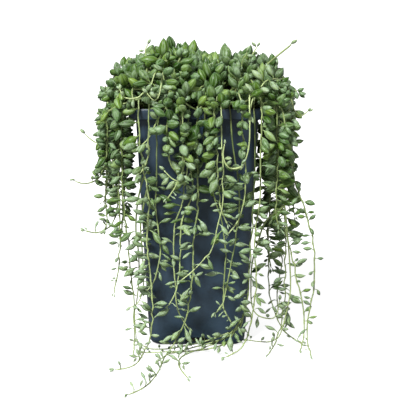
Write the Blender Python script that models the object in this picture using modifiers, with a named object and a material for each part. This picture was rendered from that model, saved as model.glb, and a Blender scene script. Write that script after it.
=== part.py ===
# A potted string of watermelons: a tall square nursery pot filled with soil, a dense head of plump
# pointed leaves over it, and trailing stems that arch over the rim, hang down and lie on the surface.
# Metres, +Z up. The origin is the middle of the pot's underside, and the pot's front faces -Y.

import math
import random

import bmesh
import bpy
from mathutils import Matrix, Vector
from mathutils.kdtree import KDTree

# Pot
potHeight = 0.204
rimWidth = 0.110
rimBand = 0.009
bodyTopWidth = 0.0990
baseWidth = 0.0800
wall = 0.0016
cornerRadius = 0.0095
footRound = 0.0060
drainSlotWidth = 0.021
drainSlotHeight = 0.0065
drainSlotDepth = 0.0115
drainHoleRadius = 0.004
drainHoleRing = 0.024

# Soil
soilLevel = 0.192
seatGap = 0.0003
rootDepth = 0.010
rootHoleRadius = 0.0021

# Stems
stemRadius = 0.0010
rootInset = 0.0115
rootStagger = 0.0050
stemStep = 0.004
stemGap = 0.0052
bendTolerance = 0.0011
floorRest = 0.0016
settleRounds = 60

# Leaves
leafLength = 0.0125
leafGirth = 0.285
leafClear = 0.0006
leafSpacing = 0.0146
leafSpread = 0.0086
leafTries = 14
leafRetry = math.radians(52)
leafBelly = 0.56
goldenAngle = math.radians(137.5)
leafSides = 4
footSunk = 0.0004

# Head of leaves
headCentre = Vector((-0.004, 0.001, 0.2070))
headSize = Vector((0.0375, 0.0365, 0.0270))
headSquare = 2.8
headLean = 0.22
headLeafCount = 100
headSunk = 0.0038
headLump = 0.03
headStubs = 5
headStubRing = 0.020

# Each side of the pot: the way out of it, and the way along its rim.
sides = {
    "front": (Vector((0, -1, 0)), Vector((1, 0, 0))),
    "right": (Vector((1, 0, 0)), Vector((0, 1, 0))),
    "back": (Vector((0, 1, 0)), Vector((-1, 0, 0))),
    "left": (Vector((-1, 0, 0)), Vector((0, -1, 0))),
}

# Stems placed one by one, in millimetres. "at" is the place along the side's rim, "out" how far the stem
# hangs off the rim, "lift" how high it arches over it. "way" holds the places along, the heights and, where
# it changes, the distance out. "end" is a hooked tip, a tip that turns up, or points on the surface.
stems = {
    "front": [
        {"at": -47, "out": 7, "lift": 14, "way": [(-45, 167), (-42, 150), (-36, 127), (-41, 103), (-38, 63), (-36, 23)],
         "end": [(-43, -50), (-46, -80), (-53, -103), (-65, -101)]},
        {"at": -38, "out": 16, "lift": 28, "way": [(-38, 178), (-36, 165)], "end": "hook left"},
        {"at": -30, "out": 5, "lift": 9, "way": [(-33, 177), (-32, 147), (-34, 123), (-29, 96), (-33, 63)],
         "end": "hook left"},
        {"at": -23, "out": 15, "lift": 22, "way": [(-24, 180), (-22, 163), (-20, 155)], "end": "hook right"},
        {"at": -15, "out": 8, "lift": 11, "way": [(-9, 167), (1, 139), (-12, 122), (-15, 108), (-13, 90), (-15, 53)],
         "end": "hook left"},
        {"at": -10, "out": 18, "lift": 22, "way": [(-12, 180), (-10, 157), (-14, 145)], "end": "hook left"},
        {"at": -6, "out": 3, "lift": 8, "way": [(-8, 157), (-12, 127), (-19, 108), (-20, 81), (-17, 49), (-16, 31)],
         "end": "hook right"},
        {"at": 1, "out": 9, "lift": 13, "way": [(-1, 167), (2, 134), (-3, 104), (-3, 73), (-6, 45), (-14, 17)],
         "end": [(-22, -54), (-27, -68), (-30, -104), (-41, -146), (-52, -156)]},
        {"at": 7, "out": 3, "lift": 8, "way": [(5, 177), (7, 156), (18, 120), (24, 87), (25, 69), (19, 49), (19, 37)],
         "end": "hook right"},
        {"at": 13, "out": 14, "lift": 20, "way": [(15, 180), (17, 157), (18, 134), (18, 120)], "end": "hook right"},
        {"at": 19, "out": 20, "lift": 14, "way": [(20, 167), (21, 136), (17, 113), (10, 86), (-4, 77)],
         "end": "hook left"},
        {"at": 27, "out": 6, "lift": 10, "way": [(28, 173), (36, 136), (34, 111), (30, 92), (24, 63), (25, 46)],
         "end": "hook left"},
        {"at": 34, "out": 15, "lift": 30, "way": [(36, 183), (40, 158), (39, 135), (34, 115)], "end": "hook left"},
        {"at": 41, "out": 22, "lift": 25, "way": [(43, 185), (41, 170), (37, 159), (28, 155)], "end": "turn up"},
        {"at": 46, "out": 5, "lift": 9, "way": [(46, 167), (46, 127), (43, 87), (42, 52), (38, 27), (20, 11)],
         "end": [(8, -52), (-10, -60), (-17, -78), (-13, -104), (-7, -120)]},
        {"at": 51, "out": 12, "lift": 20, "way": [(51, 157), (49, 124), (46, 93), (49, 69), (46, 39), (42, 17)],
         "end": [(37, -58), (31, -66), (23, -72)]},
    ],
    "right": [
        {"at": -45, "out": 20, "lift": 24, "way": [(-45, 146, 20), (-46, 135, 27), (-48, 113, 36), (-50, 89, 41),
                                                  (-52, 59, 44), (-53, 46, 38), (-55, 33, 34), (-56, 15, 34)],
         "end": [(91, -62), (93, -70)]},
        {"at": -32, "out": 15, "lift": 27, "way": [(-31, 150, 15), (-32, 120, 17), (-34, 95, 19), (-36, 73, 24),
                                                  (-38, 58, 28), (-38, 45, 32), (-39, 30, 34), (-39, 14, 34)],
         "end": [(88, -44), (86, -54)]},
        {"at": -16, "out": 14, "lift": 25, "way": [(-15, 150, 14), (-15, 110, 17), (-16, 77, 19), (-17, 59, 19),
                                                  (-18, 38, 20), (-20, 18, 17)],
         "end": [(69, -28), (63, -48), (58, -67)]},
        {"at": 0, "out": 7, "lift": 18, "way": [(0, 150, 7), (1, 110, 5), (0, 75, 5), (0, 45, 7), (-1, 18, 10)],
         "end": [(72, -8), (82, -26), (88, -38)]},
        {"at": 12, "out": 12, "lift": 24, "way": [(10, 150, 12), (10, 110, 14), (11, 75, 18), (11, 52, 19),
                                                 (11, 35, 14), (12, 25, 11)], "end": "hook left"},
    ],
    "left": [
        {"at": 46, "out": 5, "lift": 14, "way": [(46, 165, 6), (46, 120, 4), (46, 80, 0), (47, 39, -4), (48, 15, -2)],
         "end": [(-54, -56), (-52, -66)]},
        {"at": 39, "out": 18, "lift": 24, "way": [(38, 165, 17), (38, 150, 19), (39, 141, 24), (40, 135, 31)],
         "end": "turn up"},
        {"at": 32, "out": 9, "lift": 18, "way": [(30, 160, 9), (30, 130, 9), (30, 91, 10), (30, 67, 11), (30, 55, 12)],
         "end": "hook right"},
        {"at": 18, "out": 12, "lift": 24, "way": [(19, 150, 12), (18, 120, 11), (18, 100, 12), (19, 91, 16),
                                                 (20, 89, 26)], "end": "turn up"},
    ],
    "back": [],
}

# More stems by rule: where they cross the rim, how far out they hang and how low they reach, in turn.
ruledStems = {
    "right": {"at": (-53, -7, 23, 35, 47), "out": (9, 24, 14, 24, 7), "low": (112, 116, 96, 108, 56)},
    "left": {"at": (25, 9, -4, -17, -30, -43), "out": (20, 7, 17, 8, 20, 9), "low": (128, 100, 118, 92, 124, 74)},
    "back": {"at": (-43, -26, -10, 8, 25, 41), "out": (7, 15, 6, 16, 8, 14), "low": (96, 44, 120, 4, 70, 104)},
}

# Shoots that stand up out of the head: the root, and the points passed, in millimetres.
shoots = [
    {"name": "shoot_right", "root": (36, -11), "way": [(41, -14, 214), (47, -17, 226), (60, -22, 238), (76, -28, 252)]},
    {"name": "shoot_peak", "root": (28, -32), "way": [(31, -36, 214), (33, -38, 234), (40, -42, 248)]},
]


def clearScene():
    for obj in list(bpy.data.objects):
        bpy.data.objects.remove(obj)
    for group in list(bpy.data.collections):
        bpy.data.collections.remove(group)


def makeCollection(name, parent=None):
    group = bpy.data.collections.new(name)
    (parent or bpy.context.scene.collection).children.link(group)
    return group


def makeMaterial(name, colour, roughness):
    material = bpy.data.materials.new(name)
    material.use_nodes = True
    shader = material.node_tree.nodes["Principled BSDF"]
    shader.inputs["Base Color"].default_value = (*colour, 1)
    shader.inputs["Roughness"].default_value = roughness
    shader.inputs["Metallic"].default_value = 0
    material.diffuse_color = (*colour, 1)
    return material


def millimetres(*values):
    return Vector([value / 1000 for value in values])


# The pot as a shape to keep clear of

def potHalf(z):
    """Half the pot's outer width at height z."""
    if z > potHeight - rimBand:
        return rimWidth / 2
    share = max(z, 0) / (potHeight - rimBand)
    return (baseWidth + (bodyTopWidth - baseWidth) * share) / 2


def squareDistance(x, y, half):
    """How far (x, y) lies outside a square with rounded corners, or inside it if negative."""
    dx = abs(x) - (half - cornerRadius)
    dy = abs(y) - (half - cornerRadius)
    return math.hypot(max(dx, 0), max(dy, 0)) + min(max(dx, dy), 0) - cornerRadius


def potDistance(point):
    """The distance from a point to the pot's wall, whichever side of it the point is on."""
    across = squareDistance(point.x, point.y, potHalf(min(point.z, potHeight)))
    over = max(point.z - potHeight, 0)
    return math.hypot(max(abs(across + wall / 2) - wall / 2, 0), over)


def awayFromPot(point, room):
    """The point, moved out of reach of the wall: over the rim, or sideways off the wall."""
    if potDistance(point) >= room:
        return point
    half = potHalf(min(point.z, potHeight))
    across = squareDistance(point.x, point.y, half)
    if point.z > potHeight - room and -wall - room < across < room / 2:
        return Vector((point.x, point.y, potHeight + room))
    outward = Vector((squareDistance(point.x + 0.0001, point.y, half) - across,
                      squareDistance(point.x, point.y + 0.0001, half) - across, 0)).normalized()
    push = room - across if across > -wall / 2 else -wall - room - across
    return point + outward * push


def headNorm(x, y, z):
    """The length of a direction as the head measures it: flat-topped, between a ball and a block."""
    return (abs(x) ** headSquare + abs(y) ** headSquare + abs(z) ** headSquare) ** (1 / headSquare)


def headTall(across):
    """The head's height above its middle, greater on the left: across runs from -1 to 1."""
    return headSize.z * (1 - headLean * max(-1, min(1, across)))


def headDistance(point):
    """Roughly how far a point lies outside the core of the head."""
    offset = point - headCentre
    across = offset.x / headSize.x
    scaled = headNorm(across, offset.y / headSize.y, offset.z / headTall(across))
    return (scaled - 1) * min(headSize)


# Routes of the stems

def smoothLine(points, step):
    """Points a step apart on a smooth curve through the given ones."""
    ends = [points[0] * 2 - points[1]] + points + [points[-1] * 2 - points[-2]]
    fine = []
    for a, b, c, d in zip(ends, ends[1:], ends[2:], ends[3:]):
        parts = max(2, round((c - b).length / 0.001))
        for i in range(parts):
            t = i / parts
            fine.append(0.5 * (b * 2 + (c - a) * t + (a * 2 - b * 5 + c * 4 - d) * t * t
                               + (b * 3 - a - c * 3 + d) * t ** 3))
    fine.append(points[-1].copy())
    return evenly(fine, step)


def evenly(points, step):
    """Points an even step apart along a line of close points."""
    lengths = [(b - a).length for a, b in zip(points, points[1:])]
    total = sum(lengths)
    count = max(2, round(total / step))
    spaced, travelled, k = [points[0].copy()], 0, 0
    for i in range(1, count):
        wanted = total * i / count
        while travelled + lengths[k] < wanted:
            travelled += lengths[k]
            k += 1
        share = (wanted - travelled) / max(lengths[k], 1e-9)
        spaced.append(points[k].lerp(points[k + 1], share))
    return spaced + [points[-1].copy()]


def onSide(side, along, outward, z):
    """A point by its place along a side's rim and its distance out from the pot's axis."""
    out, across = sides[side]
    return out * outward + across * along + Vector((0, 0, z))


def stemRoute(side, spec, stagger, rng):
    """The whole way of a trailing stem: root, arch over the rim, fall, and the way it ends."""
    half = rimWidth / 2
    at, hang, lift = spec["at"] / 1000, spec["out"] / 1000, spec["lift"] / 1000
    rootAt = at / half * (half - rootInset - 0.004)
    inner = half - rootInset - stagger
    points = [onSide(side, rootAt, inner, soilLevel - rootDepth + seatGap),
              onSide(side, rootAt, inner, soilLevel + 0.004),
              onSide(side, (rootAt + at) / 2, inner + 0.002, potHeight + lift * 0.72),
              onSide(side, at, half + hang * 0.30, potHeight + lift),
              onSide(side, at, half + hang * 0.95, potHeight + lift * 0.40 - 0.004)]
    for along, z, *out in spec["way"]:
        off = (out[0] / 1000 if out else hang) + rng.uniform(-0.0012, 0.0012)
        points.append(onSide(side, along / 1000, half + off, z / 1000))
    outward, across = sides[side]
    down, last = Vector((0, 0, -1)), points[-1]
    if spec["end"] == "turn up":
        points.append(last + across * 0.004 + outward * 0.006 - down * 0.002)
        points.append(last + across * 0.006 + outward * 0.012 - down * 0.008)
    elif isinstance(spec["end"], str):
        turn = -1 if spec["end"] == "hook left" else 1
        points.append(last + across * 0.003 * turn + outward * 0.001 + down * 0.008)
        points.append(last + across * 0.009 * turn + outward * 0.003 + down * 0.009)
    else:
        points += [Vector((x / 1000, y / 1000, floorRest)) for x, y in spec["end"]]
    return smoothLine(points, stemStep)


def ruledSpecs(side, rule, rng):
    """Stems made from a side's rule, each with a little sway."""
    specs = []
    outward, across = sides[side]
    for at, hang, low in zip(rule["at"], rule["out"], rule["low"]):
        sway, top, bottom = rng.uniform(-7, 7), 188, max(low, 16)
        count = max(2, round((top - bottom) / 26))
        way = [(at + sway * k / count + rng.uniform(-2.5, 2.5), top + (bottom - top) * k / count)
               for k in range(1, count + 1)]
        end = rng.choice(("hook left", "hook right"))
        if low < bottom:
            touch = outward * (rimWidth * 500 + hang + 6) + across * way[-1][0]
            tip = touch + outward * rng.uniform(16, 24) + across * rng.uniform(-14, 14)
            end = [(touch.x, touch.y), (tip.x, tip.y)]
        specs.append({"at": at, "out": hang, "lift": 13 + hang * 0.55 + rng.uniform(0, 6), "way": way, "end": end})
    return specs


def shootRoute(spec):
    x, y = spec["root"]
    points = [millimetres(x, y, 0) + Vector((0, 0, soilLevel - rootDepth + seatGap)),
              millimetres(x, y, 0) + Vector((0, 0, soilLevel + 0.004))]
    points += [millimetres(*place) for place in spec["way"]]
    return smoothLine(points, stemStep)


def settle(routes):
    """Pushes the stems apart, off the pot and off the head, and up off the surface."""
    rooted = math.ceil((rootDepth + 0.002) / stemStep) + 1
    for turn in range(settleRounds):
        flat = [(r, i) for r, route in enumerate(routes) for i in range(len(route))]
        tree = KDTree(len(flat))
        for k, (r, i) in enumerate(flat):
            tree.insert(routes[r][i], k)
        tree.balance()
        moved = [[point.copy() for point in route] for route in routes]
        for k, (r, i) in enumerate(flat):
            if i < rooted:
                continue
            here = routes[r][i]
            for there, other, distance in tree.find_range(here, stemGap):
                if flat[other][0] != r and distance > 1e-6:
                    share = 1.0 if flat[other][1] < rooted else 0.5
                    moved[r][i] += (here - there) / distance * (stemGap - distance) * share
            route = routes[r]
            if i + 1 < len(route):
                moved[r][i] += ((route[i - 1] + route[i + 1]) / 2 - here) * 0.22
            if headDistance(moved[r][i]) < 0.003:
                away = (moved[r][i] - headCentre)
                away.z = 0
                moved[r][i] += away.normalized() * (0.003 - headDistance(moved[r][i]))
            moved[r][i] = awayFromPot(moved[r][i], stemRadius + 0.0016)
            moved[r][i].z = max(moved[r][i].z, floorRest)
        for r, route in enumerate(moved):
            routes[r] = route
    return routes


def fewerPoints(points, tolerance):
    """The points of a line that it needs to keep its bends."""
    first, last = points[0], points[-1]
    along = (last - first).normalized()
    far, place = 0, 0
    for i in range(1, len(points) - 1):
        offset = points[i] - first
        distance = (offset - along * offset.dot(along)).length
        if distance > far:
            far, place = distance, i
    if far <= tolerance:
        return [first, last]
    return fewerPoints(points[:place + 1], tolerance)[:-1] + fewerPoints(points[place:], tolerance)


# Room for the leaves

class Room:
    """Balls that stand for what is there already, sorted into cells."""

    def __init__(self, cell=0.010):
        self.cell = cell
        self.cells = {}

    def place(self, point):
        return tuple(math.floor(value / self.cell) for value in point)

    def add(self, point, radius, owner):
        self.cells.setdefault(self.place(point), []).append((point, radius, owner))

    def free(self, point, radius, owner, gap):
        cx, cy, cz = self.place(point)
        for x in (cx - 1, cx, cx + 1):
            for y in (cy - 1, cy, cy + 1):
                for z in (cz - 1, cz, cz + 1):
                    for there, size, other in self.cells.get((x, y, z), ()):
                        need = radius + size + gap if other != owner else (radius + size) * 0.62
                        if (there - point).length_squared < need * need:
                            return False
        return True


def leafBalls(base, axis, length, girth):
    """Balls that cover a leaf: where along it, and how thick it is there."""
    return [(base + axis * length * t, length * girth * w)
            for t, w in ((0.30, 0.62), (0.50, 0.98), (0.66, 0.96), (0.82, 0.62), (0.95, 0.28))]


def leafFits(room, owner, base, axis, length, girth, inHead=False):
    balls = leafBalls(base, axis, length, girth)
    for point, radius in balls:
        if point.z - radius < 0.0004:
            return False
        if potDistance(point) < radius + leafClear:
            return False
        inside = squareDistance(point.x, point.y, potHalf(min(point.z, potHeight))) < 0
        if inside and point.z < potHeight and point.z - radius < soilLevel + 0.0008:
            return False
        if not inHead and headDistance(point) < radius + 0.002:
            return False
    return all(room.free(point, radius, owner, leafClear) for point, radius in balls)


def leafSpots(line, rng):
    """Where leaves grow along a stem: the distance along it, and how long the leaf is there."""
    total = stemStep * (len(line) - 1)
    spots, along = [], rootDepth + 0.012
    while along < total - 0.002:
        share = along / total
        left = total - along
        size = leafLength * (1.06 - 0.26 * min(1, along / 0.20)) * rng.uniform(0.88, 1.1)
        size *= 0.55 + 0.45 * min(1, left / 0.035)
        spots.append((along, size))
        spacing = leafSpacing + leafSpread * min(1, max(0, along - 0.045) / 0.09)
        along += spacing * (1 - 0.15 * share) * rng.uniform(0.85, 1.15)
    return spots


def leafOnStem(line, along, length, turn, rng):
    """A leaf's base and direction: square to the stem, with its tip tending up where the stem hangs."""
    index = min(len(line) - 2, int(along / stemStep))
    base = line[index].lerp(line[index + 1], along / stemStep - index)
    stem = (line[index + 1] - line[index]).normalized()
    level = stem.orthogonal().normalized()
    radial = Matrix.Rotation(turn, 3, stem) @ level
    rise = rng.uniform(-0.25, 0.55) if abs(stem.z) > 0.5 else rng.uniform(0.1, 0.9)
    axis = (radial + Vector((0, 0, rise)) + stem * rng.uniform(-0.05, 0.25)).normalized()
    return base, axis


def growLeaves(room, owner, line, rng):
    """The leaves of one stem, each turned until it has room."""
    leaves, turn = [], rng.uniform(0, math.tau)
    for along, length in leafSpots(line, rng):
        turn += goldenAngle
        girth = leafGirth * (1.0 - 0.25 * min(1, along / 0.22)) * rng.uniform(0.93, 1.05)
        for attempt in range(leafTries):
            tried = turn + attempt * leafRetry * (-1) ** attempt
            base, axis = leafOnStem(line, along, length, tried, rng)
            size = length * (1 - 0.02 * attempt)
            if leafFits(room, owner, base, axis, size, girth):
                for point, radius in leafBalls(base, axis, size, girth):
                    room.add(point, radius, owner)
                leaves.append((along, base, axis, size, girth))
                break
    return leaves


def growHead(room, rng):
    """Leaves all over the head, set as evenly as seeds, their roots in its core."""
    leaves = []
    wanted = headLeafCount * 2
    for i in range(wanted):
        if len(leaves) >= headLeafCount:
            break
        rise = 1 - (i + 0.5) / wanted * 1.15
        around = i * goldenAngle + rng.uniform(-0.1, 0.1)
        flat = math.sqrt(max(0, 1 - rise * rise))
        way = Vector((flat * math.cos(around), flat * math.sin(around), rise))
        out = way / headNorm(*way)
        skin = headCentre + Vector((out.x * headSize.x, out.y * headSize.y, out.z * headTall(out.x)))
        normal = Vector((way.x / headSize.x, way.y / headSize.y, way.z / headSize.z)).normalized()
        for attempt in range(8):
            tilt = Vector([rng.uniform(-0.55, 0.55) for _ in range(3)]) + Vector((0, 0, 0.2))
            axis = (normal + tilt).normalized()
            length = leafLength * rng.uniform(1.12, 1.32) * (1 - 0.03 * attempt)
            base = skin - normal * headSunk
            if leafFits(room, "crown", base, axis, length, leafGirth, inHead=True):
                for point, radius in leafBalls(base, axis, length, leafGirth):
                    room.add(point, radius, "crown")
                leaves.append((0, base, axis, length, leafGirth))
                break
    return leaves


def planPlant():
    """Every stem's name and route, and every leaf, the same each time."""
    rng = random.Random(21)
    names, routes = [], []
    for side, placed in stems.items():
        ruled = ruledSpecs(side, ruledStems[side], rng) if side in ruledStems else []
        specs = sorted(placed + ruled, key=lambda spec: spec["at"])
        for number, spec in enumerate(specs, 1):
            names.append(f"stem_{side}_{number:02d}")
            stagger = rootStagger * (number % 2) if side == "front" else 0
            routes.append(stemRoute(side, spec, stagger, rng))
    for spec in shoots:
        names.append(spec["name"])
        routes.append(shootRoute(spec))
    routes = settle(routes)
    room = Room()
    for name, route in zip(names, routes):
        for a, b in zip(route, route[1:]):
            room.add(a, stemRadius + 0.0009, name)
            room.add((a + b) / 2, stemRadius + 0.0009, name)
    leaves = {}
    for name, route in zip(names, routes):
        leaves[name] = growLeaves(room, name, route, random.Random(name))
    leaves["crown"] = growHead(room, random.Random(5))
    return names, dict(zip(names, routes)), leaves


# Solids

def linkMesh(name, bm, group, material=None):
    mesh = bpy.data.meshes.new(name)
    bm.normal_update()
    bm.to_mesh(mesh)
    bm.free()
    obj = bpy.data.objects.new(name, mesh)
    if material:
        mesh.materials.append(material)
    group.objects.link(obj)
    return obj


def taperedBlock(low, lowHalf, high, highHalf, corner, roundFoot):
    """A square block with a taper, rounded upright edges and a rounded foot, open at neither end."""
    bm = bmesh.new()
    bmesh.ops.create_cube(bm, size=1)
    for vert in bm.verts:
        half, z = (highHalf, high) if vert.co.z > 0 else (lowHalf, low)
        vert.co = Vector((math.copysign(half, vert.co.x), math.copysign(half, vert.co.y), z))
    upright = [e for e in bm.edges if abs(e.verts[0].co.z - e.verts[1].co.z) > (high - low) / 2]
    bmesh.ops.bevel(bm, geom=upright, offset=corner, segments=3, profile=0.5, affect="EDGES")
    foot = [e for e in bm.edges if all(abs(v.co.z - low) < 1e-6 for v in e.verts)]
    bmesh.ops.bevel(bm, geom=foot, offset=roundFoot, segments=2, profile=0.5, affect="EDGES")
    return bm


def topFace(bm):
    return max(bm.faces, key=lambda face: (face.normal.z > 0.9, face.calc_center_median().z))


def addCutter(name, bm, group):
    cutter = linkMesh(name, bm, group)
    cutter.hide_render = True
    cutter.display_type = "WIRE"
    return cutter


def cutWith(obj, cutters):
    modifier = obj.modifiers.new("Cut", "BOOLEAN")
    modifier.operation = "DIFFERENCE"
    modifier.operand_type = "COLLECTION"
    modifier.collection = cutters
    modifier.solver = "EXACT"


def buildPot(group, cutters, material):
    """The pot's shell, with its stepped rim band, drain slots and drain holes."""
    under = potHeight - rimBand
    bm = taperedBlock(0, baseWidth / 2, under, bodyTopWidth / 2, cornerRadius, footRound)
    bm.faces.ensure_lookup_table()
    bm.normal_update()
    bmesh.ops.delete(bm, geom=[topFace(bm)], context="FACES_ONLY")
    spread = rimWidth / bodyTopWidth
    for rise, scale in ((0.0006, spread), (rimBand - 0.0006, 1.0)):
        edge = [e for e in bm.edges if e.is_boundary]
        made = bmesh.ops.extrude_edge_only(bm, edges=edge)["geom"]
        moved = [v for v in made if isinstance(v, bmesh.types.BMVert)]
        for vert in moved:
            vert.co = Vector((vert.co.x * scale, vert.co.y * scale, vert.co.z + rise))
    bmesh.ops.recalc_face_normals(bm, faces=bm.faces)
    pot = linkMesh("pot", bm, group, material)
    shell = pot.modifiers.new("Wall", "SOLIDIFY")
    shell.thickness = wall
    shell.offset = -1
    shell.use_even_offset = True
    holes = makeCollection("pot cutters", cutters)
    for turn in range(2):
        bm = bmesh.new()
        bmesh.ops.create_cube(bm, size=1)
        bmesh.ops.scale(bm, vec=(drainSlotWidth, baseWidth * 1.2, drainSlotHeight), verts=bm.verts)
        tops = [e for e in bm.edges if all(v.co.z > 0 for v in e.verts) and
                abs(e.verts[0].co.y - e.verts[1].co.y) > baseWidth]
        bmesh.ops.bevel(bm, geom=tops, offset=drainSlotHeight * 0.4, segments=1, affect="EDGES")
        for vert in bm.verts:
            vert.co.z += drainSlotHeight / 2
        inner = baseWidth / 2 - drainSlotDepth
        bmesh.ops.bisect_plane(bm, geom=bm.verts[:] + bm.edges[:] + bm.faces[:],
                               plane_co=(0, -inner, 0), plane_no=(0, -1, 0), clear_inner=True)
        bmesh.ops.holes_fill(bm, edges=[e for e in bm.edges if e.is_boundary])
        bmesh.ops.recalc_face_normals(bm, faces=bm.faces)
        for vert in bm.verts:
            if vert.co.z < 0.001:
                vert.co.z = -0.004
        twin = bm.copy()
        for number, piece in enumerate((bm, twin)):
            spin = Matrix.Rotation(math.radians(90 * (2 * number + turn)), 3, "Z")
            bmesh.ops.rotate(piece, verts=piece.verts, cent=(0, 0, 0), matrix=spin)
            addCutter(f"slot cutter {turn} {number}", piece, holes)
    for number in range(4):
        bm = bmesh.new()
        bmesh.ops.create_cone(bm, cap_ends=True, segments=10, radius1=drainHoleRadius,
                              radius2=drainHoleRadius, depth=wall * 6)
        angle = math.radians(45 + 90 * number)
        place = Vector((math.cos(angle), math.sin(angle), 0)) * drainHoleRing
        bmesh.ops.translate(bm, verts=bm.verts, vec=place)
        addCutter(f"drain cutter {number}", bm, holes)
    cutWith(pot, holes)
    pot.data.shade_smooth()
    return pot


def buildSoil(group, cutters, material, roots):
    """The soil, clear of the pot's wall, with a plain hole for each root."""
    inset = wall + seatGap
    low = wall + seatGap
    bm = taperedBlock(low, potHalf(low) - inset, soilLevel, potHalf(soilLevel) - inset,
                      cornerRadius - wall, footRound - 0.0008)
    bm.normal_update()
    soil = linkMesh("soil", bm, group, material)
    holes = makeCollection("soil cutters", cutters)
    for number, (x, y) in enumerate(roots):
        bm = bmesh.new()
        bmesh.ops.create_cone(bm, cap_ends=True, segments=4, radius1=rootHoleRadius,
                              radius2=rootHoleRadius, depth=2 * rootDepth)
        bmesh.ops.translate(bm, verts=bm.verts, vec=(x, y, soilLevel))
        addCutter(f"root cutter {number:02d}", bm, holes)
    cutWith(soil, holes)
    return soil


def leafObject(name, base, axis, length, girth, group):
    """A plump leaf, narrow at its foot and pointed at its tip, from a cone with its end drawn out."""
    bm = bmesh.new()
    bmesh.ops.create_cone(bm, cap_ends=True, segments=leafSides, radius1=0,
                          radius2=length * girth, depth=length * leafBelly)
    bm.normal_update()
    bmesh.ops.poke(bm, faces=[topFace(bm)], offset=length * (1 - leafBelly), center_mode="MEAN_WEIGHTED")
    bmesh.ops.translate(bm, verts=bm.verts, vec=(0, 0, length * leafBelly / 2 - footSunk))
    place = Matrix.Translation(base) @ axis.to_track_quat("Z", "Y").to_matrix().to_4x4()
    bmesh.ops.transform(bm, matrix=place, verts=bm.verts)
    return linkMesh(name, bm, group)


def stemObject(name, points, group, profile):
    """A tube along a stem's points, made a closed mesh."""
    data = bpy.data.curves.new(name, "CURVE")
    data.dimensions = "3D"
    data.bevel_mode = "OBJECT"
    data.bevel_object = profile
    data.use_fill_caps = True
    spline = data.splines.new("POLY")
    spline.points.add(len(points) - 1)
    for spot, point in zip(spline.points, points):
        spot.co = (*point, 1)
    curve = bpy.data.objects.new(name, data)
    group.objects.link(curve)
    bpy.context.view_layer.update()
    graph = bpy.context.evaluated_depsgraph_get()
    mesh = bpy.data.meshes.new_from_object(curve.evaluated_get(graph))
    bm = bmesh.new()
    bm.from_mesh(mesh)
    bmesh.ops.remove_doubles(bm, verts=bm.verts, dist=1e-5)
    bmesh.ops.recalc_face_normals(bm, faces=bm.faces)
    bpy.data.objects.remove(curve)
    return linkMesh(name, bm, group)


def stemProfile(group):
    """The three-sided section that the stems are drawn with."""
    data = bpy.data.curves.new("stem section", "CURVE")
    data.dimensions = "2D"
    spline = data.splines.new("POLY")
    spline.points.add(2)
    for k, spot in enumerate(spline.points):
        angle = math.tau * k / 3
        spot.co = (stemRadius * math.cos(angle), stemRadius * math.sin(angle), 0, 1)
    spline.use_cyclic_u = True
    section = bpy.data.objects.new("stem section", data)
    section.hide_render = True
    group.objects.link(section)
    return section


def fuse(name, body, repeats, group, material):
    """One closed body from a stem or core and the leaves rooted in it."""
    if repeats.objects:
        join = body.modifiers.new("Join", "BOOLEAN")
        join.operation = "UNION"
        join.operand_type = "COLLECTION"
        join.collection = repeats
        join.solver = "EXACT"
        bpy.context.view_layer.update()
    graph = bpy.context.evaluated_depsgraph_get()
    mesh = bpy.data.meshes.new_from_object(body.evaluated_get(graph))
    mesh.name = name
    mesh.materials.clear()
    mesh.materials.append(material)
    for obj in list(repeats.objects):
        bpy.data.objects.remove(obj)
    bpy.data.collections.remove(repeats)
    bpy.data.objects.remove(body)
    whole = bpy.data.objects.new(name, mesh)
    group.objects.link(whole)
    return whole


def buildStem(name, line, leaves, group, material, profile):
    """One trailing stem with its leaves."""
    points = [line[0]] + fewerPoints(line[3:], bendTolerance)
    body = stemObject(name + " body", points, group, profile)
    repeats = makeCollection(name + " leaves")
    for number, (along, base, axis, length, girth) in enumerate(leaves):
        foot = nearestOn(points, base)
        leafObject(f"leaf {number}", foot, axis, length, girth, repeats)
    return fuse(name, body, repeats, group, material)


def nearestOn(points, place):
    """The nearest point to a place on a line of few points."""
    best = None
    for a, b in zip(points, points[1:]):
        share = max(0, min(1, (place - a).dot(b - a) / (b - a).length_squared))
        spot = a.lerp(b, share)
        if best is None or (spot - place).length < (best - place).length:
            best = spot
    return best


def buildCrown(leaves, stubs, group, material, profile):
    """The head: a lumpy core on short rooted stems, with leaves standing out of it all over."""
    bm = bmesh.new()
    bmesh.ops.create_icosphere(bm, subdivisions=2, radius=1)
    rng = random.Random(3)
    for vert in bm.verts:
        out = vert.co / headNorm(*vert.co) * (1 - rng.uniform(0, headLump))
        vert.co = headCentre + Vector((out.x * headSize.x, out.y * headSize.y, out.z * headTall(out.x)))
    floor = headCentre.copy()
    floor.z = soilLevel + 0.003
    bmesh.ops.bisect_plane(bm, geom=bm.verts[:] + bm.edges[:] + bm.faces[:], plane_co=floor,
                           plane_no=(0, 0, -1), clear_outer=True)
    bmesh.ops.holes_fill(bm, edges=[e for e in bm.edges if e.is_boundary])
    bmesh.ops.recalc_face_normals(bm, faces=bm.faces)
    body = linkMesh("crown body", bm, group)
    repeats = makeCollection("crown leaves")
    for number, (x, y) in enumerate(stubs):
        line = [Vector((x, y, soilLevel - rootDepth + seatGap)), Vector((x, y, soilLevel + 0.008))]
        stemObject(f"crown root {number}", line, repeats, profile)
    for number, (along, base, axis, length, girth) in enumerate(leaves):
        leafObject(f"crown leaf {number}", base, axis, length, girth, repeats)
    return fuse("crown", body, repeats, group, material)


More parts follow.
